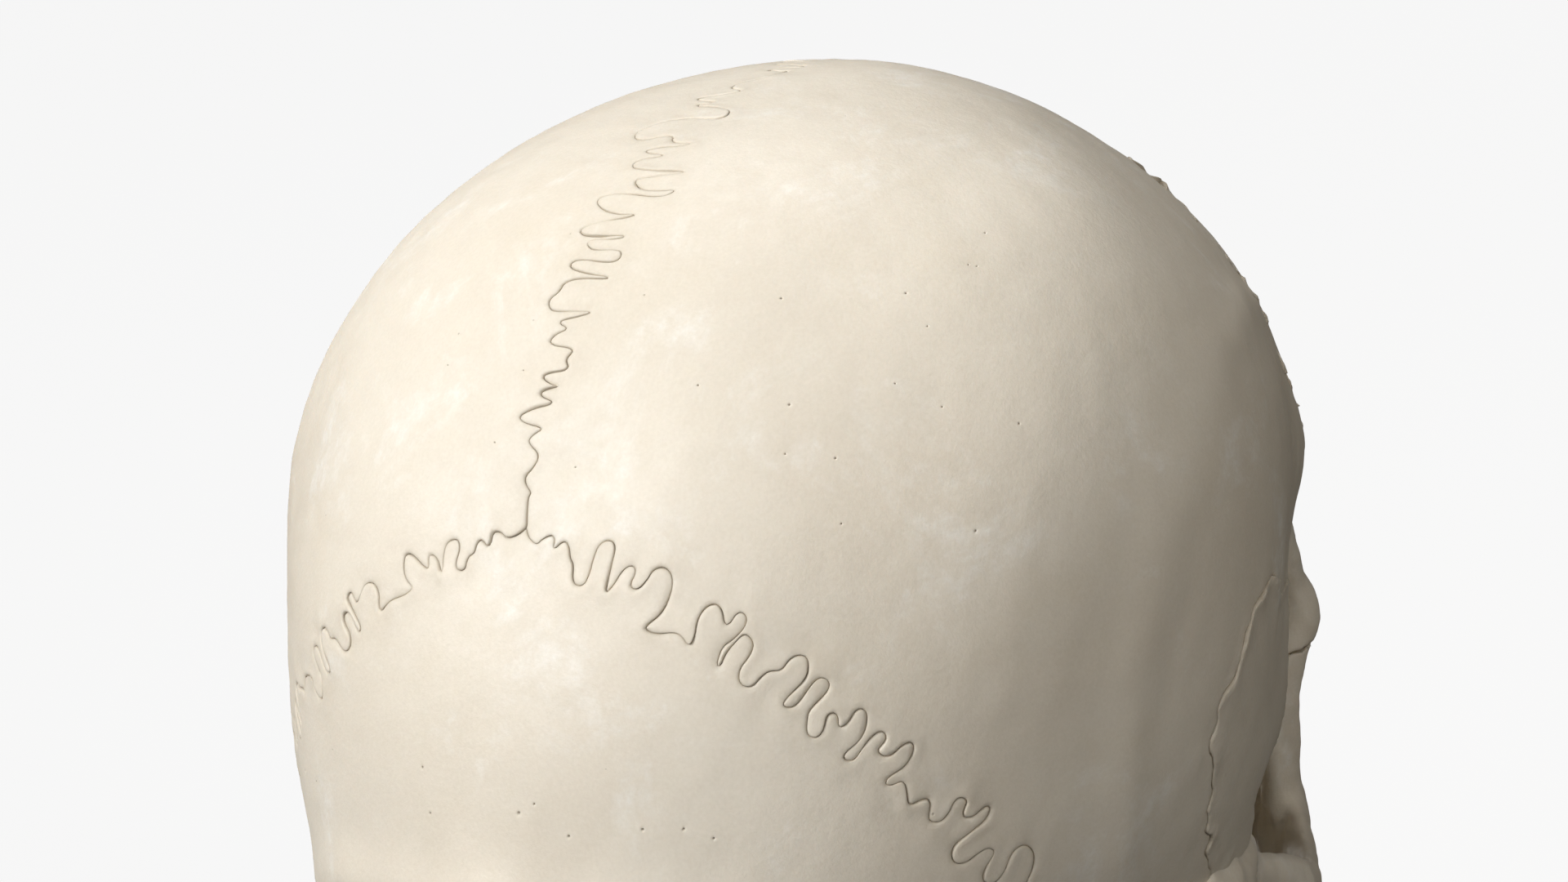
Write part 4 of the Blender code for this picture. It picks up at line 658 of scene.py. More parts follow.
for s in (1, -1):
    m = np.array([s, 1, 1])
    line = on_vault(spline([tuple(EAR_END[1])] + [tuple(q) for q in squam[::3]] + SQUAM_FRONT, 0.3))
    g = (waves(31, 3, 9, 14)(*line.T) * 0.28 + waves(32, 1.4, 2.6, 14)(*line.T) * 0.10) * hump(np.arange(len(line)), 0, 30) * hump(len(line) - 1.0 - np.arange(len(line)), 0, 30)
    across = unit(np.cross(unit(line - CENTRE), unit(np.gradient(line, axis=0))))
    SEAMS["squamous", s] = flowing((line + across * g[:, None]) * m, 0.35, 0)
    SEAMS["parietomastoid", s] = wandering([ASTERION[s], (58.2 * s, 40, 1), EAR_END[s]], 24, 1.0, 3.2)
    SEAMS["sphenoparietal", s] = flowing(on_vault(spline([WING_TOP[s], PTERION[s]], 0.3)), 0.35, 0)
    SEAMS["coronal", s] = uncrossed(wandering([PTERION[s], (62.3 * s, -21, 56), (62.5 * s, -8, 71), (57 * s, -1, 83), (49.7 * s, 1, 91.5),
                                               (38 * s, -1, 99), (25 * s, -2, 105), (12 * s, -3, 108), BREGMA], 40 + s, 1.9, 4.0, 0.7))
    SEAMS["frontosphenoid", s] = wandering([PTERION[s], (57 * s, -46, 38), (53 * s, -56, 33), (47.5 * s, -64, 26)], 33, 0.5, 3.0)
    SEAMS["sphenosquamous", s] = wandering([(46 * s, -28, -7), (50 * s, -37, -4), (52.3 * s, -39.5, 0.5), (53.5 * s, -36, 5), (55.5 * s, -30.5, 10),
                                              (59 * s, -27, 22), WING_TOP[s]], 35, 0.3, 4.0)
    SEAMS["occipitomastoid", s] = wandering([ASTERION[s], (50 * s, 44, -10), (44 * s, 38, -20), (36 * s, 27, -25), (28 * s, 15, -26)], 37, 0.9, 3.2)
    SEAMS["petro_occipital", s] = flowing(on_vault(spline([(28 * s, 15, -26), (24 * s, 3, -24), (18 * s, -10, -21), (13 * s, -20, -17)], 0.5)), 0.4, 0)
    SEAMS["petro_sphenoid", s] = flowing(on_vault(spline([(13 * s, -20, -17), (22 * s, -22, -14), (33 * s, -24, -11), (46 * s, -28, -7)], 0.5)), 0.4, 0)
    SEAMS["clivus_end", s] = flowing(on_vault(spline([(13 * s, -20, -17), (7 * s, -25.5, -16), (0, -26.5, -15.5)], 0.5)), 0.4, 0)
    SEAMS["wing_low", s] = flowing(on_vault(spline([(47.5 * s, -64, 26), (45 * s, -59, 14), (42 * s, -55, 3), (43 * s, -46, -5), (46 * s, -36, -7),
                                                    (46 * s, -28, -7)], 0.5)), 0.4, 0)
    SEAMS["brow", s] = flowing(on_vault(spline([(47.5 * s, -64, 26), (48.5 * s, -71, 29.5), (44 * s, -78, 33.5), (37 * s, -82.5, 35.5),
                                                (28 * s, -85.5, 35.5), (18 * s, -88, 32), (10 * s, -89, 27.5), (0, -89.5, 26.5)], 0.5)), 0.5, 0)


def ring(*parts):
    out = []
    for p in parts:
        out.append(p[:-1])
    return np.vstack(out)


def wall_parietal(p):
    thin = hump(-p[:, 2], -52, -30) * 1.6
    return 5.6 - thin + 0.3 * SOFT(*p.T)


def grooves(p):
    """Branching furrows of the inner vessels on a parietal bone."""
    ax, y, z = np.abs(p[:, 0]), p[:, 1], p[:, 2]
    h = 0.0
    for k, pts in enumerate(([(62, -20, 44), (60, -12, 62), (52, -6, 82), (38, 0, 97), (20, 6, 106)],
                             [(60, -12, 62), (58, 4, 76), (48, 14, 92), (34, 22, 101)], [(58, 4, 76), (55, 22, 82), (44, 36, 90)],
                             [(66, 6, 36), (66, 26, 48), (62, 42, 58), (50, 56, 66), (34, 68, 70)], [(66, 26, 48), (64, 34, 66), (54, 46, 78)])):
        h = h + 0.75 * near_line(ax, y, z, pts, 1.1)
    return h


def occipital_wall(p):
    t = np.interp(p[:, 1], [-26, -8, 20, 50, 90], [9.0, 6.5, 4.6, 5.6, 6.6])
    ax = np.abs(p[:, 0])
    t = t + 3.0 * np.exp(-((ax / 5.5) ** 2)) * hump(p[:, 1], 30, 50) + 2.6 * np.exp(-((p[:, 2] - 3) / 5.5) ** 2) * hump(p[:, 1], 50, 70)
    return t


def build_vault():
    for s, word in ((-1, "right"), (1, "left")):
        cell = Cell((0.62 * s, 0.25, 0.5), ring(SEAMS["sagittal"], SEAMS["lambdoid", s], SEAMS["parietomastoid", s], SEAMS["squamous", s],
                                               SEAMS["sphenoparietal", s], SEAMS["coronal", s]))
        v, f, extra = plate(cell, wall_parietal, 50 + s, grooves)
        finished("parietal_%s_shape" % word, v, f, ["parietal_" + word], extra)
    a = np.arange(150) * 2 * math.pi / 150
    wob = 1 + 0.03 * np.sin(3 * a + 1) + 0.02 * np.sin(5 * a)
    magnum = on_vault(np.stack([15 * np.sin(a) * wob, 11 + 17.5 * np.cos(a) * wob, np.full(150, -33.0)], axis=1))
    cell = Cell((0, 0.6, -0.75), ring(SEAMS["lambdoid", 1], SEAMS["occipitomastoid", 1], SEAMS["petro_occipital", 1], SEAMS["clivus_end", 1],
                                      SEAMS["clivus_end", -1][::-1], SEAMS["petro_occipital", -1][::-1],
                                      SEAMS["occipitomastoid", -1][::-1], SEAMS["lambdoid", -1][::-1]), [magnum])
    v, f, extra = plate(cell, occipital_wall, 60)
    finished("occipital_shape", v, f, ["occipital"], extra)


build_vault()


# ---- solid shapes on a grid of distances ------------------------------------------------------------------------------
def smin(a, b, k):
    if k <= 0:
        return np.minimum(a, b)
    h = np.maximum(k - np.abs(a - b), 0) / k
    return np.minimum(a, b) - h * h * (k * 0.25)


def smax(a, b, k):
    return -smin(-a, -b, k)


class Block:
    """A box of sample points holding the distance to a shape in mm, negative inside it."""

    def __init__(self, lo, hi, h, far=7.0):
        h = h * 1.0
        self.h, self.lo, self.far = h, np.array(lo, float), far
        n = np.ceil((np.array(hi, float) - self.lo) / h).astype(int) + 1
        self.axes = [(self.lo[k] + np.arange(n[k]) * h).astype(np.float32) for k in range(3)]
        self.D = np.full(tuple(n), far, np.float32)

    def window(self, lo, hi):
        s = []
        for k in range(3):
            i = min(max(0, int(math.floor((lo[k] - self.lo[k]) / self.h))), self.D.shape[k])
            j = min(self.D.shape[k], max(i, int(math.ceil((hi[k] - self.lo[k]) / self.h)) + 1))
            s.append(slice(i, j))
        X = [self.axes[k][s[k]].reshape([-1 if m == k else 1 for m in range(3)]) for k in range(3)]
        return tuple(s), X

    def add(self, part, blend=0.0):
        s, X = self.window(part[0], part[1])
        self.D[s] = smin(self.D[s], part[2](*X), blend)

    def cut(self, part, blend=0.0):
        s, X = self.window(part[0], part[1])
        self.D[s] = smax(self.D[s], -part[2](*X), blend)

    def keep(self, f, blend=0.0):
        """Keeps what is inside f, a distance over the whole block."""
        X = [a.reshape([-1 if m == k else 1 for m in range(3)]) for k, a in enumerate(self.axes)]
        self.D = smax(self.D, f(*X), blend)

    def bar(self, path, blend=0.0, up=(0, 0, 1), cut=False, gap=3.0):
        """A bar swept through (x, y, z, half width, half height) stations, with an oval section and round ends."""
        p = spline(path, gap) if gap and len(path) > 2 else np.array(path, float)
        big = float(p[:, 3:5].max())
        s0, _ = self.window(p[:, :3].min(0) - big - 6, p[:, :3].max(0) + big + 6)
        T = np.full(self.D[s0].shape, self.far, np.float32)
        for a, b in zip(p[:-1], p[1:]):
            d = b[:3] - a[:3]
            size = float(np.linalg.norm(d))
            if size < 1e-6:
                continue
            t = d / size
            w = unit(np.cross(t, up))
            h = np.cross(w, t)
            reach = max(a[3], a[4], b[3], b[4]) + 6
            s, (X, Y, Z) = self.window(np.minimum(a[:3], b[:3]) - reach, np.maximum(a[:3], b[:3]) + reach)
            x, y, z = X - a[0], Y - a[1], Z - a[2]
            q = x * t[0] + y * t[1] + z * t[2]
            c = np.clip(q / size, 0, 1)
            over = q - c * size
            ra, rb = a[3] + (b[3] - a[3]) * c, a[4] + (b[4] - a[4]) * c
            rm = np.minimum(ra, rb)
            u, v = (x * w[0] + y * w[1] + z * w[2]) / ra, (x * h[0] + y * h[1] + z * h[2]) / rb
            e = over / rm
            k0 = np.sqrt(u * u + v * v + e * e)
            k1 = np.sqrt((u / ra) ** 2 + (v / rb) ** 2 + (e / rm) ** 2)
            g = k0 * (k0 - 1) / np.maximum(k1, 1e-5)
            inner = tuple(slice(m.start - n.start, m.stop - n.start) for m, n in zip(s, s0))
            T[inner] = np.minimum(T[inner], g)
        self.D[s0] = smax(self.D[s0], -T, blend) if cut else smin(self.D[s0], T, blend)

    def solid(self, part, blend=0.0, passes=0, cut=False):
        """Adds or cuts a part after softening its corners."""
        s, X = self.window(part[0], part[1])
        T = np.array(part[2](*X), np.float32)
        T = np.broadcast_to(T, self.D[s].shape).copy()
        for _ in range(passes):
            T = softened(T)
        self.D[s] = smax(self.D[s], -T, blend) if cut else smin(self.D[s], T, blend)


def softened(T):
    for k in range(3):
        U = np.swapaxes(T, 0, k)
        V = U.copy()
        V[1:-1] = 0.25 * U[:-2] + 0.5 * U[1:-1] + 0.25 * U[2:]
        T = np.swapaxes(V, 0, k)
    return np.ascontiguousarray(T)


def turn_matrix(turn):
    ax, ay, az = np.radians(turn)
    rx = np.array([[1, 0, 0], [0, math.cos(ax), -math.sin(ax)], [0, math.sin(ax), math.cos(ax)]])
    ry = np.array([[math.cos(ay), 0, math.sin(ay)], [0, 1, 0], [-math.sin(ay), 0, math.cos(ay)]])
    rz = np.array([[math.cos(az), -math.sin(az), 0], [math.sin(az), math.cos(az), 0], [0, 0, 1]])
    return rz @ ry @ rx


def oval(c, r, turn=(0, 0, 0)):
    m = turn_matrix(turn)
    big = max(r) + 6

    def f(X, Y, Z):
        x, y, z = X - c[0], Y - c[1], Z - c[2]
        q = [(x * m[0, k] + y * m[1, k] + z * m[2, k]) / r[k] for k in range(3)]
        k0 = np.sqrt(q[0] ** 2 + q[1] ** 2 + q[2] ** 2)
        k1 = np.sqrt((q[0] / r[0]) ** 2 + (q[1] / r[1]) ** 2 + (q[2] / r[2]) ** 2)
        return k0 * (k0 - 1) / np.maximum(k1, 1e-5)
    return np.array(c, float) - big, np.array(c, float) + big, f


def flat_distance(poly, u, v):
    """Signed distance to a closed outline, for broadcastable u and v."""
    a, b = poly, np.roll(poly, -1, axis=0)
    far, odd = None, None
    for p, q in zip(a, b):
        d = q - p
        x, y = u - p[0], v - p[1]
        t = np.clip((x * d[0] + y * d[1]) / max(float(d @ d), 1e-9), 0, 1)
        e = (x - t * d[0]) ** 2 + (y - t * d[1]) ** 2
        far = e if far is None else np.minimum(far, e)
        if abs(d[1]) > 1e-9:
            hit = ((p[1] > v) != (q[1] > v)) & (u < d[0] * (v - p[1]) / d[1] + p[0])
            odd = hit if odd is None else odd ^ hit
    return np.where(odd, -1, 1) * np.sqrt(far)


def rounded(poly, gap=1.2):
    """A closed outline through the points, smoothed."""
    p = np.array(poly, float)
    n = len(p)
    out = []
    for i in range(n):
        a, b, c, d = p[i - 1], p[i], p[(i + 1) % n], p[(i + 2) % n]
        m = max(1, int(round(np.linalg.norm(c - b) / gap)))
        t = (np.arange(m) / m)[:, None]
        out.append(0.5 * (2 * b + (c - a) * t + (2 * a - 5 * b + 4 * c - d) * t * t + (3 * b - a - 3 * c + d) * t ** 3))
    return np.vstack(out)


def stack(axis, rings):
    """A solid through outlines of equal count that lie across one axis."""
    rings = [np.array(r, float) for r in rings]
    at = np.array([r[:, axis].mean() for r in rings])
    order = np.argsort(at)
    at = at[order]
    others = [k for k in range(3) if k != axis]
    flat = np.array([rings[i][:, others] for i in order])
    allp = np.vstack(rings)

    def f(*X):
        shape = np.broadcast_shapes(*(x.shape for x in X))
        out = np.empty(shape, np.float32)
        u, v = (np.squeeze(X[k], axis=axis) for k in others)
        for i, c in enumerate(X[axis].ravel()):
            cc = float(np.clip(c, at[0], at[-1]))
            poly = np.array([[np.interp(cc, at, flat[:, j, k]) for k in (0, 1)] for j in range(flat.shape[1])])
            d = flat_distance(poly, u, v)
            e = max(at[0] - c, c - at[-1])
            s = [slice(None)] * 3
            s[axis] = i
            out[tuple(s)] = np.maximum(d, e) if e <= 0 else np.sqrt(np.maximum(d, 0) ** 2 + e * e)
        return out
    return allp.min(0) - 6, allp.max(0) + 6, f


def beyond(point, normal, wobble=None):
    """Half space on the side that the normal points away from."""
    n = unit(normal)
    k = float(n @ np.asarray(point, float))

    def f(X, Y, Z):
        d = X * n[0] + Y * n[1] + Z * n[2] - k
        return d + wobble(X, Y, Z) if wobble else d
    return f


def skull_shell(cell, thick, lift=0.0, gap=0.1, lo=None, hi=None, blend=0.6):
    """The braincase wall inside a cell; thick and lift may be functions of place."""
    def f(X, Y, Z):
        x, y, z = X - CENTRE[0], Y - CENTRE[1], Z - CENTRE[2]
        r = np.sqrt(x * x + y * y + z * z)
        q = 1 / np.maximum(r, 1.0)
        x, y, z = x * q, y * q, z * q
        R = OUTSIDE.look(x, y, z)
        up = lift(X, Y, Z) if callable(lift) else lift
        t = thick(X, Y, Z) if callable(thick) else thick
        d = smax(r - (R + up), (R - t) - r, blend)
        edge = cell.distance(x, y, z) * (r / R0)
        return smax(d, gap - edge, blend)
    return np.array(lo, float), np.array(hi, float), f


class Relief(Surface):
    """The braincase radius with its muscle lines, from the table alone."""

    def __init__(self):
        n = self.n = VAULT.n
        el, az = np.linspace(-np.pi / 2, np.pi / 2, n + 1), np.linspace(-np.pi, np.pi, 2 * n + 1)
        e, a = np.meshgrid(el, az, indexing="ij")
        d = [np.sin(e), np.cos(e) * np.cos(a), np.cos(e) * np.sin(a)]
        r = VAULT.table
        self.table = (r + relief(*(CENTRE[k] + d[k] * r for k in range(3)))).astype(np.float32)


OUTSIDE = Relief()


def eye_funnel(X, Y, Z):
    """Distance to the eye socket (negative inside), depth from the rim 0 to the tip 1, and the angle round it."""
    s = np.clip((Y + 76.0) / 38.0, -0.6, 1.2) + 0 * X + 0 * Z
    for _ in range(3):
        w = np.where(s > 0, s, 0.25 * s)
        ra, rb = 18.5 - 12.5 * w, 17.5 - 12.5 * w
        dx, dz = (X - (30.5 - 15.5 * w)) / ra, (Z - (16 - 3 * w)) / rb
        k = np.sqrt(dx * dx + dz * dz) + 1e-6
        c, q = dx / k, dz / k
        rim = -82 + 15 * ((1 + c) / 2) ** 2 - 2 * q
        s = np.clip((Y - rim) / (-38 - rim), -0.6, 1.2)
    n = 2.5
    k = (np.abs(dx) ** n + np.abs(dz) ** n) ** (1 / n)
    d = (k - 1) * np.minimum(ra, rb)
    return np.maximum(d, (s - 1.0) * 42), s, np.degrees(np.arctan2(q, c))


EYE_BOX = ((8, -100, -6), (56, -34, 40))


def eye_cut():
    return (*EYE_BOX, lambda X, Y, Z: eye_funnel(X, Y, Z)[0])


def eye_wall(s0, s1, a0, a1, thick):
    def f(X, Y, Z):
        d, s, a = eye_funnel(X, Y, Z)
        side = np.maximum(a0 - a, a - a1) * (0.0174 * 13)
        return np.maximum(np.maximum(-d - 0.3, d - thick), np.maximum(np.maximum(s0 - s, s - s1) * 40, side))
    return (*EYE_BOX, f)


def normals(v, f):
    if f.shape[1] == 4:
        n = np.cross(v[f[:, 2]] - v[f[:, 0]], v[f[:, 3]] - v[f[:, 1]])
    else:
        n = np.cross(v[f[:, 1]] - v[f[:, 0]], v[f[:, 2]] - v[f[:, 0]])
    out = np.zeros_like(v)
    for k in range(f.shape[1]):
        for c in range(3):
            out[:, c] += np.bincount(f[:, k], n[:, c], len(v))
    return unit(out + 1e-12)


def skin(block, mirror=False, grain=0.05, soft=0.0):
    """Points and triangles of the shape's surface; mirror also makes the other half, across X = 0."""
    D, h = block.D, block.h
    lo = block.lo.copy()
    if mirror:
        D = np.concatenate([D[:0:-1], D])
        lo[0] = -(D.shape[0] - 1) / 2 * h
    c = 3 * h
    A = np.clip(D, -c, c).astype(np.float32)
    for k in range(3):
        B = np.swapaxes(A, 0, k)
        if not (mirror and k == 0):
            B[0] = np.maximum(B[0], 0.5 * h)
        B[-1] = np.maximum(B[-1], 0.5 * h)
    g = openvdb.FloatGrid(c)
    g.copyFromArray(A)
    pts, quads = g.convertToQuads(0.0)
    v = np.asarray(pts, float) * h + lo
    f = np.asarray(quads, np.int64)
    f = np.vstack([f[:, [0, 1, 2]], f[:, [0, 2, 3]]])
    a = v[f[:, 0]]
    vol = np.einsum("ij,ij->i", a - v.mean(0), np.cross(v[f[:, 1]] - a, v[f[:, 2]] - a)).sum()
    if vol < 0:
        f = f[:, ::-1]
    f = largest(f, len(v))
    used, idx = np.unique(f, return_inverse=True)
    v, f = v[used], idx.reshape(f.shape)
    if grain or soft:
        n = normals(v, f)
        v = v + n * (grain * FINE(*v.T) + soft * SOFT(*(v * 1.7).T))[:, None]
    return v, f


def largest(f, count):
    """Drops crumbs: keeps faces of groups that are more than a twentieth of the whole."""
    label = np.arange(count)
    for _ in range(60):
        low = label[f].min(1)
        new = label.copy()
        for k in range(3):
            np.minimum.at(new, f[:, k], low)
        new = new[new]
        if (new == label).all():
            break
        label = new
    groups = label[f[:, 0]]
    ids, n = np.unique(groups, return_counts=True)
    return f[np.isin(groups, ids[n > 0.05 * len(f)])]


def grouped(*meshes):
    """Several closed skins as one, with their attributes."""
    vs, fs, kept, k = [], [], {"seam": [], "near": [], "pit": []}, 0
    for m in meshes:
        v, f = m[0], m[1]
        extra = m[2] if len(m) > 2 else {}
        vs.append(v)
        fs.append(f + k)
        for key, rows in kept.items():
            rows.append(extra.get(key, np.zeros(len(v))))
        k += len(v)
    return np.vstack(vs), np.vstack(fs), {key: np.concatenate(rows) for key, rows in kept.items()}


def pair(stem, mesh, extra=None):
    """The left piece as made, and its mirror image as the right one."""
    for word, flip in (("left", False), ("right", True)):
        finished("%s_%s_shape" % (stem, word), mesh[0], mesh[1], ["%s_%s" % (stem, word)],
                 extra or (mesh[2] if len(mesh) > 2 else None), True, flip)


def to_head(p):
    """World metres back to head coordinates in mm."""
    p = np.asarray(p, float) * 1000
    y, z = p[..., 1] - SHIFT_Y, p[..., 2] - LIFT
    return np.stack([p[..., 0], y * COS - z * SIN, y * SIN + z * COS], axis=-1)


def from_frame(name, h=0.4, passes=2, grain=0.03):
    """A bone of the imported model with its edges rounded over."""
    o = frame["nodes"][name]
    m = o.data
    m.calc_loop_triangles()
    co = np.empty(len(m.vertices) * 3, np.float32)
    m.vertices.foreach_get("co", co)
    w = np.array(o.matrix_world)
    v = to_head(co.reshape(-1, 3) @ w[:3, :3].T + w[:3, 3])
    t = np.empty(len(m.loop_triangles) * 3, np.int32)
    m.loop_triangles.foreach_get("vertices", t)
    t = t.reshape(-1, 3)
    lo = v.min(0) - 2.5
    b = Block(lo, v.max(0) + 2.5, h)
    g = openvdb.FloatGrid.createLevelSetFromPolygons(((v - b.lo) / b.h).astype(np.float32), triangles=t.astype(np.uint32), halfWidth=4.0)
    A = np.empty(b.D.shape, np.float32)
    g.copyToArray(A, ijk=(0, 0, 0))
    b.D = A * b.h
    for _ in range(passes):
        b.D = softened(b.D)
    return skin(b, False, grain)


def cheek_seam(X, Y):
    """How far the seam between frontal and cheek bone lies above its mean height."""
    return 0.36 * np.clip((X - 47.5) * 0.883 - (Y + 68) * 0.468, -4, 4) + 0.16 * np.sin(Y * 2.4 + X * 0.9) + 0.1 * np.sin(X * 3.1 + 1)


def cheek_line(X, Y, Z):
    """Positive outside of the outline that the cheek process has from behind."""
    most = np.interp(Z.ravel(), [-13, -9.6, -3.5, 2.6, 8.7, 12, 15.7, 18.3, 21.8, 23.8, 28, 33, 39, 43, 46],
                     [90, 79.8, 78.3, 77.0, 76.15, 75.7, 75.35, 75.8, 77.1, 78.1, 80.1, 79.3, 76.5, 76.5, 90]).reshape(Z.shape)
    return 0.883 * X - 0.4685 * Y - most - 30 * hump(Y, -54, -46)


# ---- frontal bone: the curved wall, and brow, eye socket roofs and cheek processes -------------------------------------
def build_frontal():
    cell = Cell((0, -0.8, 0.5), ring(SEAMS["coronal", 1][::-1], SEAMS["frontosphenoid", 1], SEAMS["brow", 1], SEAMS["brow", -1][::-1],
                                     SEAMS["frontosphenoid", -1][::-1], SEAMS["coronal", -1]))
    notch = waves(61, 2.2, 6, 14)
    wall = plate(cell, lambda p: 5.6 + 0.4 * SOFT(*p.T) - 1.4 * hump(-p[:, 2], -48, -34), 70, None, 0.022,
                 lambda p, sd: 0.26 * notch(*p.T) * np.exp(-sd / 1.0) * hump(p[:, 2], 52, 60))
    b = Block((0, -99, 20), (57, -36, 60), 0.62)
    dive = lambda X, Y, Z: 0.10 - 0.5 * hump(Z + 0 * X, 37, 45) - 1.0 * hump(Z + 0 * X, 45, 56) - 0.6 * hump(Y + 0 * X + 0 * Z, -62, -48) \
        + 1.7 * np.exp(-((Z - 42) / 5.5) ** 2) * (1 - hump(X + 0 * Y, 24, 40))
    b.add(skull_shell(cell, 5.2, dive, 0.3, (0, -99, 24), (57, -38, 60)))
    b.bar([(0, -88.6, 31, 4.5, 5.0), (8, -89.6, 31.6, 4.2, 4.8), (14, -90.2, 33.2, 3.8, 4.2), (21, -89.4, 35.6, 3.4, 3.6),
           (30, -86.9, 37.2, 3.2, 3.3), (38, -82.6, 36.7, 3.2, 3.4), (44.4, -76.9, 33.6, 3.5, 3.9), (48.4, -71.8, 28.5, 3.9, 4.1),
           (47.9, -69.4, 24.8, 3.7, 3.9), (47.2, -67.0, 20.5, 3.3, 3.7)], 5.0)
    b.bar([(47.6, -71.0, 31.5, 2.3, 3.0), (47.4, -66.8, 38, 1.8, 2.8), (46.6, -65.2, 41.5, 1.4, 2.3), (45.6, -63.2, 45, 1.1, 2.0), (45.0, -59.5, 51, 0.8, 1.6)],
          3.5, up=(0, 1, 0))
    b.bar([(41.5, -78, 37, 2.8, 3.0), (44.2, -73.5, 38.6, 2.4, 3.2), (45.3, -69, 41, 1.7, 3.0), (45.3, -65, 44.5, 1.0, 2.4)], 5.0, up=(0, 1, 0))
    b.add(oval((14.5, -89.6, 38.2), (12.5, 4.6, 4.6), (0, -14, -10)), 6.0)
    b.add(oval((0, -89.8, 35.5), (9.5, 5.2, 7.0)), 6.0)
    b.add(oval((0, -84.6, 28.0), (10.2, 6.6, 7.0)), 3.0)
    b.solid(eye_wall(-0.06, 0.80, 22, 150, 2.4), 1.6, 1)
    b.add(oval((13.5, -80.5, 29.0), (4.5, 8.0, 6.0)), 2.5)
    b.cut(eye_cut(), 1.0)
    b.bar([(21.5, -93, 31.5, 1.7, 1.7), (21.5, -84, 35.0, 1.5, 1.5)], 1.0, cut=True)
    # the roof's hollow over the nose
    b.cut(oval((0, -66, 18.5), (10.5, 20, 13.5)), 1.5)
    b.keep(cheek_line, 1.6)
    b.keep(lambda X, Y, Z: 22.55 - Z + cheek_seam(X, Y) * hump(X, 38, 41), 0.12)
    front = lambda X, Y, Z: 27.3 - Z - 0.05 * X + 0.25 * np.sin(X * 2.2) - np.maximum(Y + 83.2, 0) * 0.9 - np.maximum(X - 10.6, 0) * 2.0
    b.keep(front, 0.3)
    low = skin(b, True, 0.05, 0.12)
    finished("frontal_shape", *grouped(wall, low)[:2], ["frontal"], grouped(wall, low)[2])


# ---- temporal bones ----------------------------------------------------------------------------------------------------
ARCH_SEAM, ARCH_NORMAL = np.array([59.0, -37.0, -8.6]), unit([0.2, 0.93, -0.3])
ZM_POINT, ZM_NORMAL = np.array([39.5, -69.0, -8.0]), unit([0.898, -0.408, 0.163])


def build_temporal():
    for s, word in ((1, "left"), (-1, "right")):
        seam = SEAMS["sphenosquamous", s]
        high = seam[seam[:, 2] > 9.0]
        close = flowing(on_vault(spline([tuple(high[0]), (60.5 * s, -12, 2.4), (62.6 * s, 4, 2.8), (62.8 * s, 14, 2.4), (62.6 * s, 20, 2.2), tuple(EAR_END[s])], 0.6)), 0.6, 0)
        loop = ring(SEAMS["squamous", s], high[::-1], close)
        cell = Cell((0.95 * s, 0.05, 0.2), loop)
        edge = on_vault(SEAMS["squamous", s])[::4]

        def lift(p, sd, edge=edge):
            far = np.full(len(p), 99.0)
            rim = np.nonzero(sd < 9)[0]
            for k in range(0, len(rim), 3000):
                i = rim[k:k + 3000]
                far[i] = np.sqrt(((p[i][:, None] - edge[None]) ** 2).sum(2)).min(1)
            g = np.exp(-far / 2.0) * (0.26 + 0.16 * waves(91, 6, 15, 10)(*p.T))
            flute = 0.26 * np.sin(p[:, 1] * 2.3 + 0.25 * p[:, 2] + 1.6 * SOFT(*(p * 0.5).T)) * hump(-p[:, 1], 2, 8) * hump(-p[:, 2], -34, -22) \
                * hump(far, 1, 5)
            comb = 0.16 * np.sin(np.arctan2(p[:, 2] - 2, p[:, 1] - 6) * 46 + 2.0 * SOFT(*(p * 0.6).T)) * np.exp(-np.abs(far - 4.5) / 3.2)
            return g + comb + flute
        squama = plate(cell, lambda p: 3.0 + 0.8 * hump(-p[:, 2], -30, -8), 80 + s, None, 0.022, lift)
        if s == 1:
            whole = Cell((0.95, 0.1, -0.35), ring(SEAMS["squamous", 1][::-1], SEAMS["parietomastoid", 1][::-1], SEAMS["occipitomastoid", 1],
                                                  SEAMS["petro_occipital", 1], SEAMS["petro_sphenoid", 1], SEAMS["sphenosquamous", 1]))
            low = temporal_low(whole)
        v, f = low
        mesh = grouped(squama, (v * [s, 1, 1], f if s == 1 else f[:, ::-1]))
        finished("temporal_%s_shape" % word, mesh[0], mesh[1], ["temporal_" + word], mesh[2])


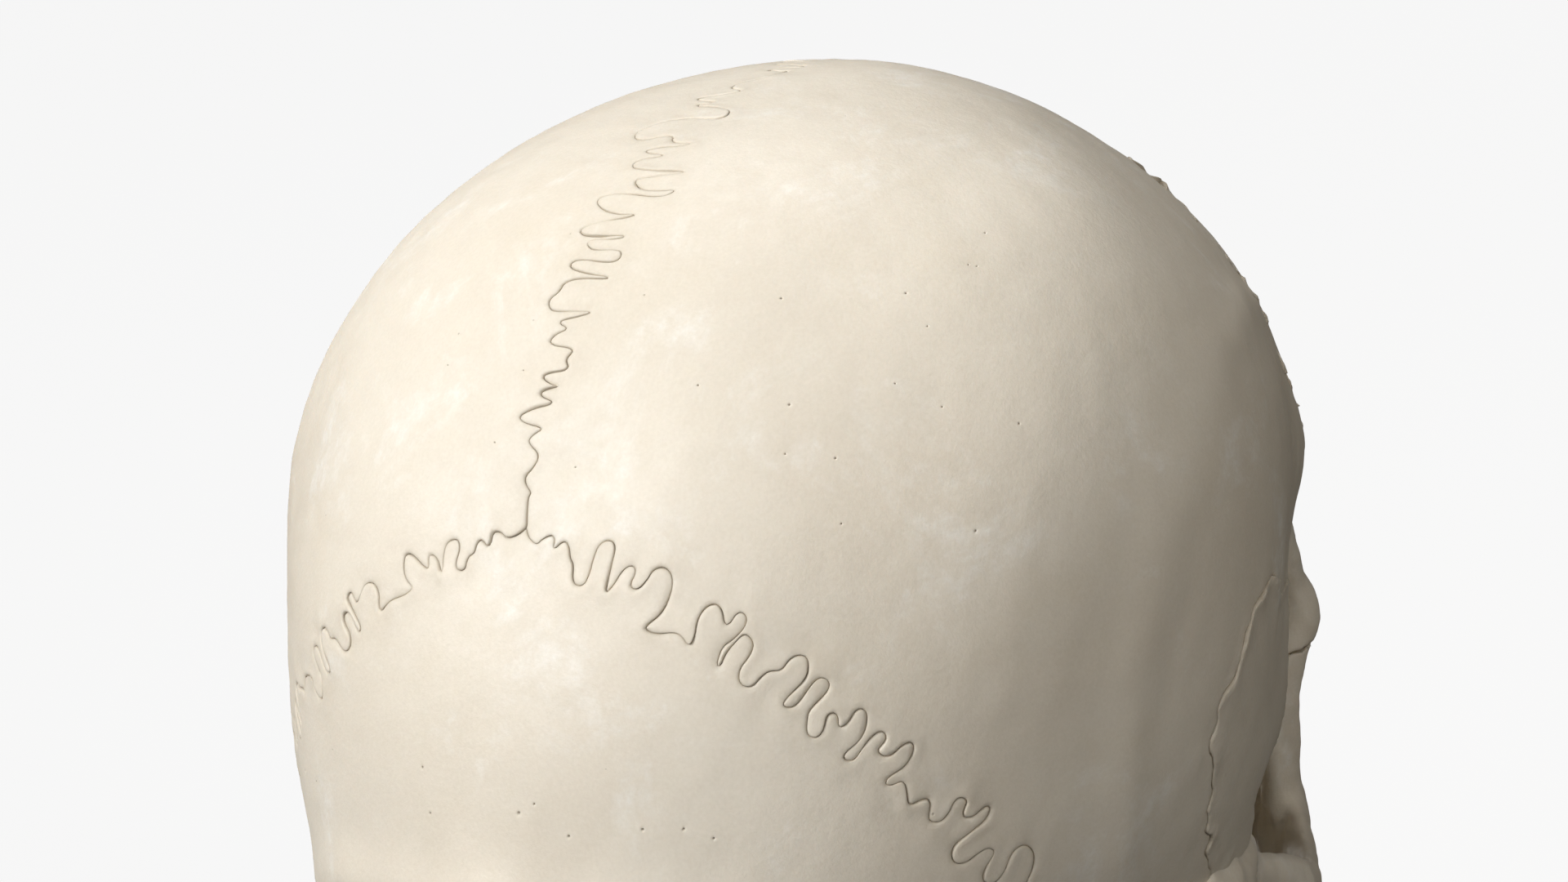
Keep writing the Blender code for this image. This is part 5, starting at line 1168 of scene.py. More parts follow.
def temporal_low(whole):
    b = Block((9, -46, -43), (73, 55, 24), 0.58)
    dive = lambda X, Y, Z: 0.12 - 0.9 * hump(Z + 0.1 * X, 8.7, 12.5) + 0 * Y
    thick = lambda X, Y, Z: 4.4 + 4.0 * hump(-Z + 0 * X, -14, 2) + 0 * Y
    b.add(skull_shell(whole, thick, dive, 0.15, (9, -44, -34), (73, 54, 24)))
    b.solid(stack(0, [
        [(54, 2, -6), (54, 24, -6), (54, 22, 6), (54, 12, 13), (54, 2, 8)],
        [(38, -6, -8), (38, 15, -12), (38, 13, 2), (38, 4, 11), (38, -5, 4)],
        [(25, -14, -10), (25, 2, -15), (25, 0, -3), (25, -7, 5), (25, -14, -1)],
        [(15, -19.5, -11), (15, -11, -14), (15, -12, -6), (15, -16, -2), (15, -20, -6)]]), 2.5, 3)
    b.add(oval((52.5, 16.5, -12), (7.6, 9.6, 16.2), (-14, 8, 0)), 5.0)
    b.bar([(56, -2, -1.0, 2, 2.5), (61, 3, 0.6, 1.6, 2.0), (62.8, 12, 0.9, 1.3, 2.0), (62.2, 22, 0.2, 1.2, 2.0), (59.8, 32, -1.2, 1.1, 2.2)], 4.0)
    b.bar([(53, 20, -2, 4, 8), (52, 27, -6, 4, 9), (49, 33, -9, 3, 6)], 5.0)
    b.cut(oval((44.2, 22, -24.5), (2.6, 13, 7.0), (0, 0, 14)), 2.0)
    b.add((*(np.array((48, -6, -9)), np.array((66, 14, 12))), lambda X, Y, Z: np.maximum(np.sqrt(((Y - 3.5) / 6.2) ** 2 + ((Z + 1.4) / 6.6) ** 2) * 6.2 - 6.2,
                                                                                np.maximum(49 - X, X - (60.2 + 0.12 * Z)))), 1.8)
    b.bar([(56.5, 6, -1.6, 3, 3), (60, -5, -1.6, 2.8, 3.2), (62.2, -14, -3.9, 2.3, 3.6), (62.2, -24, -6.4, 2.0, 3.7), (60.2, -33, -8.2, 2.0, 3.8),
           (57.8, -41, -9.4, 2.1, 4.0)], 2.5)
    b.bar([(60.5, -17, -6.5, 4.5, 3.6), (53, -19, -9.0, 4.6, 4.4), (45, -20.5, -10, 4.0, 4.0)], 3.0)
    b.bar([(60, -13, -6.0, 2.0, 2.5), (57, -17, -7.0, 3.0, 3.0), (53, -20, -7.0, 3.5, 3.5)], 3.0)
    b.cut(oval((50.5, -9.5, -7.2), (13.5, 6.8, 6.8)), 0.8)
    b.bar([(40, -1.2, -9.5, 1.2, 5.5), (50, -0.9, -8.5, 1.2, 5.0), (56, -1.0, -6, 1.2, 4.0)], 1.0)
    b.bar([(75, 3.5, -2.0, 4.2, 4.1), (56, 3.5, -2.0, 4.0, 4.0), (42, 1.5, 0.2, 3.0, 3.2)], 0.9, cut=True, gap=0)
    b.bar([(39.5, 7, -9, 2.6, 2.6), (37.6, 5, -24, 1.6, 1.6), (35.8, 2.5, -36.5, 0.9, 0.9)], 1.6)
    # canal of the artery, and the inner ear's way in
    b.bar([(31, -1, -20, 3.2, 3.0), (31, -2, -9, 2.8, 2.6)], 0.8, cut=True, gap=0)
    b.bar([(24, 6, 0, 2.0, 1.8), (33, -1, 0.5, 1.7, 1.6)], 0.8, cut=True, gap=0)
    b.keep(beyond(ARCH_SEAM - ARCH_NORMAL * 0.0, -ARCH_NORMAL, lambda X, Y, Z: 0.12 + 0.35 * np.sin(Z * 2.1 + X)), 0.3)
    return skin(b, False, 0.07, 0.1)


# ---- sphenoid -----------------------------------------------------------------------------------------------------------
def build_sphenoid():
    meshes = []
    for s in (1, -1):
        cell = Cell((0.75 * s, -0.62, -0.2), ring(SEAMS["frontosphenoid", s], SEAMS["wing_low", s], SEAMS["sphenosquamous", s], SEAMS["sphenoparietal", s]))
        meshes.append(plate(cell, 3.6, 90 + s))
        if s == 1:
            wing = cell
    b = Block((0, -68, -33), (62, -21, 47), 0.62)
    b.add(skull_shell(wing, 3.8, -0.2, 0.4, (30, -68, -14), (62, -21, 47)))
    b.solid(stack(1, [
        [(-11, -27.3, -9), (11, -27.3, -9), (13, -27.3, 4), (11, -27.3, 15), (-11, -27.3, 15), (-13, -27.3, 4)],
        [(-12, -36, -6), (12, -36, -6), (14, -36, 4), (12, -36, 17), (-12, -36, 17), (-14, -36, 4)],
        [(-9, -45.5, -3), (9, -45.5, -3), (10, -45.5, 6), (9, -45.5, 22), (-9, -45.5, 22), (-10, -45.5, 6)]]), 2.0, 2)
    b.bar([(0, -27.2, 13, 2.0, 2.0), (0, -27.4, 20, 2.0, 2.0)], 1.5, gap=0)
    b.bar([(0, -27.4, 21.4, 1.9, 1.9), (8, -28.6, 22.2, 1.6, 1.6)], 1.5, gap=0)
    def under(X, Y, Z):
        v = np.clip((X - 8) / 37.5, 0, 1)
        u = (Y + 44 + 5 * v) / (14 + 6 * v)
        z = -1.5 - 1.7 * v - 1.6 * v * np.sin(math.pi * np.clip(u, 0, 1)) - 3.2 * np.sin(math.pi * v) + 1.8
        return np.maximum(np.abs(Z - z) - 1.8, np.maximum(np.maximum(-u, u - 1) * 15, np.maximum(7 - X, X - 46)))
    b.solid(((0, -56, -16), (52, -24, 12), under), 2.5, 1)
    b.solid(eye_wall(0.22, 0.97, -48, 14, 2.7), 1.6, 1)
    b.bar([(4, -40, 21, 6.4, 1.9), (12, -41.5, 22.6, 5.2, 1.7), (20, -43.5, 26.8, 3.8, 1.6), (29, -45, 30, 2.8, 1.1), (37, -45.6, 33, 1.8, 0.8)], 1.5, up=(0, 0, 1))
    b.bar([(11.5, -38, 21, 1.8, 1.8), (12.5, -32.2, 22.0, 1.3, 1.3)], 1.2, gap=0)
    for x, y, w in ((19, -36.5, 1.1), (11.5, -38, 1.0)):
        b.solid(stack(2, [
            [(x - w - 1.5, y - 5, -2), (x + w + 1.5, y - 5, -2), (x + w + 1.5, y + 5, -2), (x - w - 1.5, y + 5, -2)],
            [(x - w, y - 5, -16), (x + w, y - 5, -16), (x + w + 0.5, y + 5.5, -16), (x - w + 0.5, y + 5.5, -16)],
            [(x - w + 0.5, y - 3.5, -29), (x + w + 0.5, y - 3.5, -29), (x + w + 1, y + 3.5, -29), (x - w + 1, y + 3.5, -29)]]), 1.5, 1)
    b.bar([(11.5, -38, -26, 1.2, 1.2), (12.4, -37, -31, 1.1, 1.1)], 0.8, gap=0)
    b.solid(stack(2, [[(9, -45, -12), (21, -45, -12), (20, -38, -12), (10, -38, -12)],
                      [(8, -45, 0), (22, -45, 0), (22, -33, 0), (8, -33, 0)]]), 1.5, 2)
    b.cut(oval((0, -33.5, 19.5), (7.5, 4.4, 6.8)), 1.5)
    b.bar([(9.5, -50, 18.5, 2.1, 2.1), (12.2, -36, 18.5, 2.0, 2.0)], 0.8, cut=True, gap=0)
    b.bar([(24, -34, -12, 1.9, 2.6), (24, -34, 6, 1.9, 2.6)], 0.7, cut=True, gap=0, up=(0, 1, 0))
    b.bar([(16, -50, 3, 1.6, 1.6), (17, -34, 4, 1.6, 1.6)], 0.7, cut=True, gap=0)
    low = skin(b, True, 0.05, 0.1)
    v, f, extra = grouped(*meshes, low)
    finished("sphenoid_shape", v, f, ["sphenoid"], extra)


# ---- teeth ------------------------------------------------------------------------------------------------------------------
UPPER_ARCH = np.array([(0, -96.5), (10, -94.5), (19, -87.5), (25.2, -77), (28.6, -64), (30.2, -49)], float)
LOWER_ARCH = np.array([(0, -92.8), (8, -91.2), (16.5, -85.2), (22.8, -74.5), (27, -61.5), (30.5, -44)], float)
UPPER_TEETH = [("central_incisor", 8.4, 7.0, 10.5, 9), ("lateral_incisor", 6.5, 6.2, 9.6, 8.5), ("canine", 7.5, 8.0, 10.4, 10),
               ("first_premolar", 7.0, 9.0, 8.4, 8.5), ("second_premolar", 6.7, 9.0, 7.8, 8.5), ("first_molar", 9.9, 11.0, 7.4, 8),
               ("second_molar", 9.2, 11.0, 7.0, 7.5), ("third_molar", 8.0, 10.0, 6.6, 7)]
LOWER_TEETH = [("central_incisor", 5.3, 6.0, 9.0, 8), ("lateral_incisor", 5.8, 6.3, 9.2, 8), ("canine", 6.8, 7.6, 10.0, 9),
               ("first_premolar", 7.0, 7.6, 8.6, 8), ("second_premolar", 7.1, 8.0, 8.2, 8), ("first_molar", 10.8, 10.2, 7.8, 7.5),
               ("second_molar", 10.2, 10.0, 7.4, 7), ("third_molar", 9.6, 9.4, 7.0, 6.5)]
NECK = {"upper": -37.7, "lower": -55.8}


def along(arch, s):
    """Point and outward direction at a length s from the midline."""
    n = len(arch)
    d = np.concatenate([[0], np.cumsum(np.linalg.norm(np.diff(arch, axis=0), axis=1))])
    u = np.interp(np.linspace(0, d[-1], 200), d, np.arange(n))
    fine = np.stack([np.interp(u, np.arange(n), arch[:, k]) for k in (0, 1)], axis=1)
    kernel = np.ones(31) / 31
    padded = np.vstack([fine[30:0:-1] * [-1, 1], fine, fine[-1] + (fine[-1] - fine[-2]) * np.arange(1, 31)[:, None]])
    fine = np.stack([np.convolve(padded[:, k], kernel, "same")[30:-30] for k in (0, 1)], axis=1)
    fine[0, 0] = 0
    e = np.concatenate([[0], np.cumsum(np.linalg.norm(np.diff(fine, axis=0), axis=1))])
    at = lambda t: np.array([np.interp(t, e, fine[:, k]) for k in (0, 1)])
    q = unit(at(s + 0.5) - at(s - 0.5))
    return at(s), np.array([q[1], -q[0]]) * (1 if q[1] * at(s)[0] - q[0] * at(s)[1] > 0 else -1)


def places(word):
    """Name, size, spot and outward direction of each tooth of the left half of a jaw."""
    arch, teeth = (UPPER_ARCH, UPPER_TEETH) if word == "upper" else (LOWER_ARCH, LOWER_TEETH)
    s = 0.0
    for name, width, depth, crown, root in teeth:
        s += width / 2
        p, out = along(arch, s)
        yield name, width, depth, crown, root, s, p, out
        s += width / 2


def lean_of(name):
    return 0.22 if "incisor" in name else 0.14 if "canine" in name else 0.0


def root_profile(width, depth, root):
    """Half width and half depth of a root by height: 0 at the neck, -root at its tip."""
    return lambda w: (np.interp(w, [-root, -root * 0.5, 0], [0.25, 0.335, 0.41]) * width,
                      np.interp(w, [-root, -root * 0.5, 0], [0.22, 0.325, 0.40]) * depth)


def tooth_shape(name, width, depth, crown, root):
    """One tooth about its neck: u along the arch, v outwards, w towards the biting edge."""
    width *= 0.965
    b = Block((-width / 2 - 1.2, -depth / 2 - 2.0, -root - 1.0), (width / 2 + 1.2, depth / 2 + 4.0, crown + 1.2), 0.26, 3.0)
    X, Y, Z = [a.reshape([-1 if m == k else 1 for m in range(3)]) for k, a in enumerate(b.axes)]
    t = b.axes[2] / crown
    w = b.axes[2]
    ra, rb = root_profile(width, depth, root)(w)
    lean = lean_of(name)
    if "incisor" in name:
        a = np.interp(t, [0, 0.35, 0.75, 0.93, 1.0], [0.41, 0.452, 0.488, 0.482, 0.465]) * width
        front = np.interp(t, [0, 0.3, 0.65, 1.0], [0.40, 0.45, 0.41, 0.30]) * depth
        rear = np.interp(t, [0, 0.22, 0.5, 0.8, 1.0], [-0.40, -0.43, -0.20, 0.04, 0.14]) * depth
        power = 2.6
    elif "canine" in name:
        a = np.interp(t, [0, 0.4, 0.62, 0.8, 1.0], [0.41, 0.47, 0.485, 0.40, 0.30]) * width
        front = np.interp(t, [0, 0.35, 0.7, 1.0], [0.41, 0.47, 0.38, 0.22]) * depth
        rear = np.interp(t, [0, 0.25, 0.55, 0.85, 1.0], [-0.41, -0.44, -0.28, -0.06, 0.0]) * depth
        power = 2.2
    else:
        a = np.interp(t, [0, 0.5, 0.8, 1.0], [0.41, 0.485, 0.47, 0.42]) * width
        half = np.interp(t, [0, 0.35, 0.65, 1.0], [0.40, 0.485, 0.46, 0.38]) * depth
        front, rear = half, -half
        power = 2.5 if "premolar" in name else 3.0
    a = np.where(w < 0, ra, a)
    front, rear = np.where(w < 0, rb, front), np.where(w < 0, -rb, rear)
    c, r = (front + rear) / 2 + np.maximum(w, -0.4 * root) * lean, np.maximum((front - rear) / 2, 0.5)
    c = c.astype(np.float32)
    n = np.where(w < 0, 2.0, power)
    k = (np.abs(X / a) ** n + np.abs((Y - c) / r) ** n) ** (1 / n)
    d = (k - 1) * np.minimum(a, r)
    y = Y - c
    if "incisor" in name:
        top = crown - 0.10 * np.abs(X / width * 2) ** 6 * 6 + 0.10 * np.cos(X / width * 6 * np.pi) - 0.2 + 0 * y
    elif "canine" in name:
        top = crown - 0.1 - 0.52 * np.sqrt(X * X + 0.3) + 0 * y
        d = d - 0.25 * np.exp(-(X / 1.2) ** 2) * hump(Y - c, 0, 1.5) * hump(Z, 0.5, 3)
    elif "premolar" in name:
        gauss = lambda u, v, s, g: g * np.exp(-(((X - u) / s) ** 2 + ((y - v) / s) ** 2))
        top = crown - 2.3 + gauss(0, 0.27 * depth, 0.27 * depth, 2.3) + gauss(0, -0.25 * depth, 0.25 * depth, 1.5)
        top = top + 0.5 * hump(np.abs(X) / width, 0.3, 0.42) - 0.5 * np.exp(-(y / 0.5) ** 2) * hump(-np.abs(X) / width, -0.36, -0.26)
    else:
        top = crown - 2.1
        for i, (cu, cv) in enumerate(((0.25, 0.27), (-0.25, 0.27), (0.25, -0.27), (-0.25, -0.27))):
            g = (2.0, 1.8, 1.7, 1.5)[i]
            top = top + g * np.exp(-(((X - cu * width) / (0.22 * width)) ** 2 + ((y - cv * depth) / (0.22 * depth)) ** 2))
        wig = 0.35 * np.sin(X * 0.9 + 1)
        top = top - 0.55 * np.exp(-((y + wig) / 0.45) ** 2) * hump(-np.abs(X) / width, -0.40, -0.30)
        top = top - 0.5 * np.exp(-((X - 0.1 * width * np.sign(y)) / 0.42) ** 2) * hump(-np.abs(y) / depth, -0.46, -0.36)
        top = top + 0.4 * hump(np.abs(X) / width, 0.36, 0.46)
    d = smax(d, (Z - top) * 0.8, 0.7)
    b.D = smax(d, (-root + 0.3) - Z, 1.2).astype(np.float32)
    v, f = skin(b, False, 0.0)
    wavy = 0.9 * np.cos(np.arctan2(v[:, 1], v[:, 0]) * 2) * (1.0 if lean else 0.35)
    enamel = hump(v[:, 2] + wavy, 0.1, 0.8)
    return v, f, enamel


def build_teeth():
    for word, up in (("upper", 1), ("lower", -1)):
        for name, width, depth, crown, root, s, p, out in places(word):
            v, f, enamel = tooth_shape(name, width, depth, crown, root)
            tan = np.array([-out[1], out[0]])
            q = np.empty_like(v)
            q[:, 0] = p[0] + tan[0] * v[:, 0] + out[0] * v[:, 1]
            q[:, 1] = p[1] + tan[1] * v[:, 0] + out[1] * v[:, 1]
            q[:, 2] = NECK[word] - up * v[:, 2]
            for side, flip in (("left", False), ("right", True)):
                # tan, out and the biting direction make a right-handed set for one jaw and a left-handed one for the other
                g = f if up < 0 else f[:, ::-1]
                full = "%s_%s_%s" % (word, name, side)
                finished(full + "_shape", q, g, [full], {"enamel": enamel}, True, flip)


def sockets(b, word, up):
    for name, width, depth, crown, root, s, p, out in places(word):
        profile = root_profile(width * 0.965, depth, root)
        tan = np.array([-out[1], out[0]])
        lean = lean_of(name)

        def f(X, Y, Z):
            w = (NECK[word] - Z) * up
            flat_w = w.ravel()
            a, r = (np.asarray(g).reshape(w.shape) for g in profile(flat_w))
            u = (X - p[0]) * tan[0] + (Y - p[1]) * tan[1]
            v = (X - p[0]) * out[0] + (Y - p[1]) * out[1] - lean * np.maximum(w, -0.4 * root)
            k = np.sqrt((u / (a + 0.2)) ** 2 + (v / (r + 0.2)) ** 2)
            return np.maximum((k - 1) * np.minimum(a, r), np.maximum(-root - 0.2 - w, w - 6))
        c = np.array([p[0], p[1], NECK[word] + up * root / 2])
        b.cut((c - 11, c + 11, f), 0.6)


def juga(b, word, up, amount=1.0):
    """Bulges of the jaw over the roots."""
    for name, width, depth, crown, root, s, p, out in places(word):
        strong = {"canine": 1.0, "central_incisor": 0.6, "lateral_incisor": 0.45, "first_premolar": 0.6}.get(name, 0.45) * amount
        size = width * 0.36
        q = p + out * (depth * 0.5 - size * 0.55 + 0.5 * strong)
        tall = root * (1.5 if name == "canine" else 1.1)
        b.bar([(q[0], q[1], NECK[word] + up * 0.8, size, size), (q[0] - out[0] * 1.6, q[1] - out[1] * 1.6, NECK[word] + up * tall, size * 0.6, size * 0.6)], 1.6, up=(out[0], out[1], 0.01), gap=0)


# ---- upper jaw ---------------------------------------------------------------------------------------------------------------
def build_maxilla():
    b = Block((-0.6, -101, -46), (51, -42, 30), 0.52)
    b.solid(stack(2, [
        [(10, -92, -29), (20, -89, -29), (29, -77, -29), (33, -67, -29), (33.5, -58, -29), (31, -49, -29), (19, -48, -29), (15, -64, -29)],
        [(12, -88, -24), (22, -85.5, -24), (30, -76, -24), (35, -68, -24), (35, -60, -24), (31, -48.5, -24), (17, -47, -24), (14.6, -62, -24)],
        [(13.5, -84, -11.2), (24, -82, -11.2), (36, -76, -11.2), (43, -69, -11.2), (39, -60, -11.2), (29, -47.5, -11.2), (15.6, -46.6, -11.2), (14.6, -60, -11.2)],
        [(13, -83, -2), (24, -82.5, -2), (38, -77.5, -2), (47, -69, -2), (37, -60, -2), (24, -47.5, -2), (15.6, -46.6, -2), (13.6, -60, -2)]]), 0.0, 4)
    ridge = []
    for s in (0.17, 6, 14, 22, 30, 40, 50, 59):
        p, out = along(UPPER_ARCH, s)
        ridge.append((p[0], p[1] + (0.5 if s < 1 else 0), -31.3, float(np.interp(s, [0, 14, 30, 45, 60], [4.4, 5.0, 6.0, 7.2, 6.4])), 6.1))
    p0 = ridge[0]
    b.bar([(-6, p0[1] + 0.9, p0[2], p0[3], p0[4])] + ridge, 3.0)
    juga(b, "upper", 1)
    def roof(X, Y, Z):
        z = -25.2 - 4.6 * (X / 24) ** 2 + 0.3 * np.exp(-(X / 1.5) ** 2)
        return np.maximum(np.abs(Z - z) - 1.35, np.maximum(np.maximum(-91 - Y, Y + 53.4), X - 24))
    b.solid(((-1, -97, -36), (30, -47, -18), roof), 2.5, 1)
    b.bar([(0, -96.6, -25.2, 2.2, 1.6), (0, -92, -25.0, 4.0, 2.4), (0, -86, -25.5, 5, 2.2)], 1.5, up=(0, 0, 1))
    b.bar([(0, -98.2, -25.6, 0.9, 1.1), (0, -95, -25.0, 1.8, 1.8)], 1.0, gap=0)
    b.bar([(17.5, -85.5, -21, 4.2, 3.2), (17.4, -86, -12, 4.0, 3.2), (16.2, -86.4, -5, 3.4, 3.4), (13.4, -87.0, 1.5, 2.9, 4.0), (10.3, -87.6, 10, 2.9, 4.0),
           (8.3, -87.4, 18, 3.0, 3.2), (7.6, -86.4, 28.5, 2.7, 2.2)], 2.0, up=(0, -1, 0))
    b.bar([(14.5, -87.5, -0.5, 1.6, 1.8), (20, -86.2, -3.6, 2.1, 2.2), (28, -83.6, -4.3, 2.4, 2.4), (36, -79.6, -4.0, 2.6, 2.4), (43, -74.5, -2.6, 2.6, 2.6)], 2.5)
    b.bar([(10.8, -91.6, 2, 0.9, 1.2), (13.0, -90.2, -6, 1.0, 1.5), (13.4, -89.6, -14, 1.2, 1.6), (11.6, -90.8, -20.5, 1.3, 1.6), (6.5, -94.4, -24.2, 1.5, 1.3), (1, -96.6, -25, 1.4, 1.2)], 1.5, up=(0, -1, 0))
    b.cut(oval((25.5, -88.6, -15.5), (7.5, 5.0, 8.0), (0, 10, 28)), 4.0)
    b.add(oval((25.5, -51.5, -22), (6.6, 5.0, 9)), 3.0)
    # the sinus behind the face, and openings
    b.cut(oval((26.5, -65, -12), (8.2, 12, 8.5)), 1.5)
    b.cut(oval((12.5, -66, -12), (4.2, 7, 6)), 1.5)
    b.cut(eye_cut(), 1.0)
    b.cut(oval((27.0, -85.6, -9.4), (1.9, 4.6, 1.7), (-18, 0, 22)), 0.8)
    b.bar([(0, -88.5, -33, 1.7, 1.9), (1.6, -87, -21, 1.2, 1.2)], 0.6, cut=True, gap=0)
    b.bar([(15.4, -50.2, -33, 1.3, 2.0), (16.5, -50.5, -24, 1.2, 1.6)], 0.5, cut=True, gap=0)
    # the nose's opening and floor stay clear
    def nose(X, Y, Z):
        w = np.interp(Z.ravel(), [-24.6, -22.5, -16, -6, 2, 10, 20], [6.5, 10.0, 11.6, 11.3, 9.6, 7.4, 4.5]).reshape(Z.shape)
        return np.maximum(np.maximum(X - w, -23.6 - Z), Y + 50.0)
    b.solid(((-1, -104, -30), (20, -44, 22), nose), 0.8, 0, True)
    sockets(b, "upper", 1)
    wob = lambda X, Y, Z: 0.12 + 0.35 * np.sin(Z * 2.2 + 0.7 * Y) * hump(np.abs(Z + 6), 1.0, 3.0)
    b.keep(beyond(ZM_POINT, ZM_NORMAL, wob), 0.3)
    b.keep(lambda X, Y, Z: 0.08 - X + 0.05 * np.sin(Y * 1.7) + 0.05 * np.sin(Z * 2.1), 0.3)
    b.keep(lambda X, Y, Z: Z - 27.0 + 0.3 * np.sin(X * 2.2), 0.3)
    pair("maxilla", skin(b, False, 0.04, 0.08))


# ---- cheek bones -------------------------------------------------------------------------------------------------------------
def build_zygomatic():
    b = Block((29, -88, -22), (65, -30, 29), 0.5)
    b.bar([(33, -80.5, -4.5, 2.6, 4.0), (39, -78.5, -7.5, 3.1, 6.6), (45, -73.5, -9.2, 3.4, 9.0), (50, -65.5, -10.4, 3.0, 7.8),
           (53.8, -55.5, -10.8, 2.3, 5.2), (56.6, -46, -10.0, 2.1, 4.2), (59, -37, -8.8, 2.0, 3.9), (60.4, -31, -8.0, 2.0, 3.9)], 0.0)
    b.bar([(46.3, -72.2, -9, 3.4, 6), (46.5, -68.3, 3, 3.0, 5.0), (46.1, -66.5, 9, 2.7, 4.2), (45.1, -65.4, 15, 2.4, 3.6), (46.8, -66.8, 20, 3.2, 3.7),
           (48.0, -69.4, 25, 3.8, 4.0)], 3.5, up=(0, 1, 0))
    b.bar([(34, -81.2, -3.0, 2.2, 2.0), (40.5, -77.8, -2.0, 2.4, 2.2), (44.6, -73.0, 1.4, 2.4, 2.4), (45.2, -70.0, 6.5, 2.0, 2.6)], 2.5)
    b.bar([(44, -73.5, -17.2, 2.2, 1.8), (50, -64.5, -17.0, 2.0, 1.6), (54, -54.5, -15.0, 1.6, 1.3)], 2.0)
    b.solid(eye_wall(-0.02, 0.21, -46, 16, 2.6), 1.5, 1)
    b.cut(eye_cut(), 1.0)
    b.cut(oval((48.2, -74.8, -4.5), (1.1, 3.4, 1.0), (0, 0, 35)), 0.6)
    # the hollow with a curved edge on the side that faces the temple
    b.cut(oval((43.6, -66.9, -7.2), (3.8, 1.1, 4.3), (0, 0, 46)), 0.2)
    b.bar([(42.3, -68.2, -3.2, 0.5, 0.5), (43.9, -66.4, -3.8, 0.5, 0.5), (45.7, -64.5, -4.7, 0.5, 0.5), (46.3, -64.3, -6.2, 0.5, 0.5), (46.3, -64.4, -8.0, 0.5, 0.5),
           (45.3, -65.3, -9.8, 0.5, 0.5), (44.0, -66.6, -11.2, 0.5, 0.5)], 0.2, cut=True, gap=1.0)
    wob = lambda X, Y, Z: 0.12 - 0.35 * np.sin(Z * 2.2 + 0.7 * Y) * hump(np.abs(Z + 6), 1.0, 3.0)
    b.keep(beyond(ZM_POINT, -ZM_NORMAL, wob), 0.3)
    b.keep(cheek_line, 1.6)
    b.keep(lambda X, Y, Z: Z - 22.47 - cheek_seam(X, Y), 0.12)
    b.keep(beyond(ARCH_SEAM, ARCH_NORMAL, lambda X, Y, Z: 0.12 - 0.35 * np.sin(Z * 2.1 + X)), 0.3)
    pair("zygomatic", skin(b, False, 0.05, 0.12))


# ---- lower jaw -------------------------------------------------------------------------------------------------------------
TOP = [(0, -91, -56), (8, -89.6, -56), (16.4, -84.2, -56), (22.6, -74.5, -56), (27.2, -62.5, -55.6), (31, -50, -55), (34.6, -39, -53), (40, -31, -44)]
LOW = [(0, -84, -86.6), (9.5, -82.6, -86.6), (19, -76.6, -84.0), (26.5, -67.5, -80.2), (32.5, -57, -75.4), (37.5, -45, -70), (41.5, -33, -65.4), (45, -22, -61.6)]
WIDTHS = [(4.2, 5.2, 6.4), (4.2, 5.2, 6.4), (4.8, 5.2, 6.0), (5.4, 5.6, 5.6), (6.6, 6.6, 5.2), (6.8, 7.0, 4.8), (5.4, 6.2, 4.4), (3.4, 4.2, 3.6)]
OUTLINE = [(-41, -50), (-38.5, -38), (-37, -24), (-37, -14), (-34.5, -10), (-30, -11.5), (-26, -18), (-20.5, -21.5), (-15, -19), (-12, -14),
           (-7, -14), (-4.6, -19), (-3.4, -30), (-3.0, -42), (-4.4, -51), (-9, -56.6), (-18, -60), (-30, -63.5), (-39, -65)]


def jaw_body(X, Y, Z):
    """The horseshoe, from a centre line that leans and moves with height."""
    rows = np.array([[*TOP[i], *LOW[i], *WIDTHS[i]] for i in range(len(TOP))], float)
    mirror = rows[1] * [-1, 1, 1, -1, 1, 1, 1, 1, 1]
    rows = spline(np.vstack([mirror, rows]), 4.2)
    out = np.empty(np.broadcast_shapes(X.shape, Y.shape, Z.shape), np.float32)
    x, y = X[:, :, 0], Y[:, :, 0]
    for i, z in enumerate(Z.ravel()):
        f = np.clip((z - rows[:, 5]) / (rows[:, 2] - rows[:, 5]), 0, 1)
        c = rows[:, 3:5] + (rows[:, 0:2] - rows[:, 3:5]) * f[:, None]
        wt, wm, wb = rows[:, 6], rows[:, 7], rows[:, 8]
        w = np.where(f > 0.55, wm + (wt - wm) * (f - 0.55) / 0.45, wb + (wm - wb) * f / 0.55) * 0.96
        far = np.full((x + y).shape, 1e9)
        side = np.full(far.shape, 9.0)
        for p, q, a0, a1, t0, t1, l0, l1 in zip(c[:-1], c[1:], w[:-1], w[1:], rows[:-1, 2], rows[1:, 2], rows[:-1, 5], rows[1:, 5]):
            d = q - p
            t = np.clip(((x - p[0]) * d[0] + (y - p[1]) * d[1]) / max(float(d @ d), 1e-9), 0, 1)
            e = (x - p[0] - t * d[0]) ** 2 + (y - p[1] - t * d[1]) ** 2
            g = np.sqrt(e) - (a0 + (a1 - a0) * t)
            v = smax(g, np.maximum(z - (t0 + (t1 - t0) * t), 0.9 * ((l0 + (l1 - l0) * t) - z)), 3.4)
            near = e < far
            far = np.where(near, e, far)
            side = np.where(near, v, side)
        out[:, :, i] = side
    return out


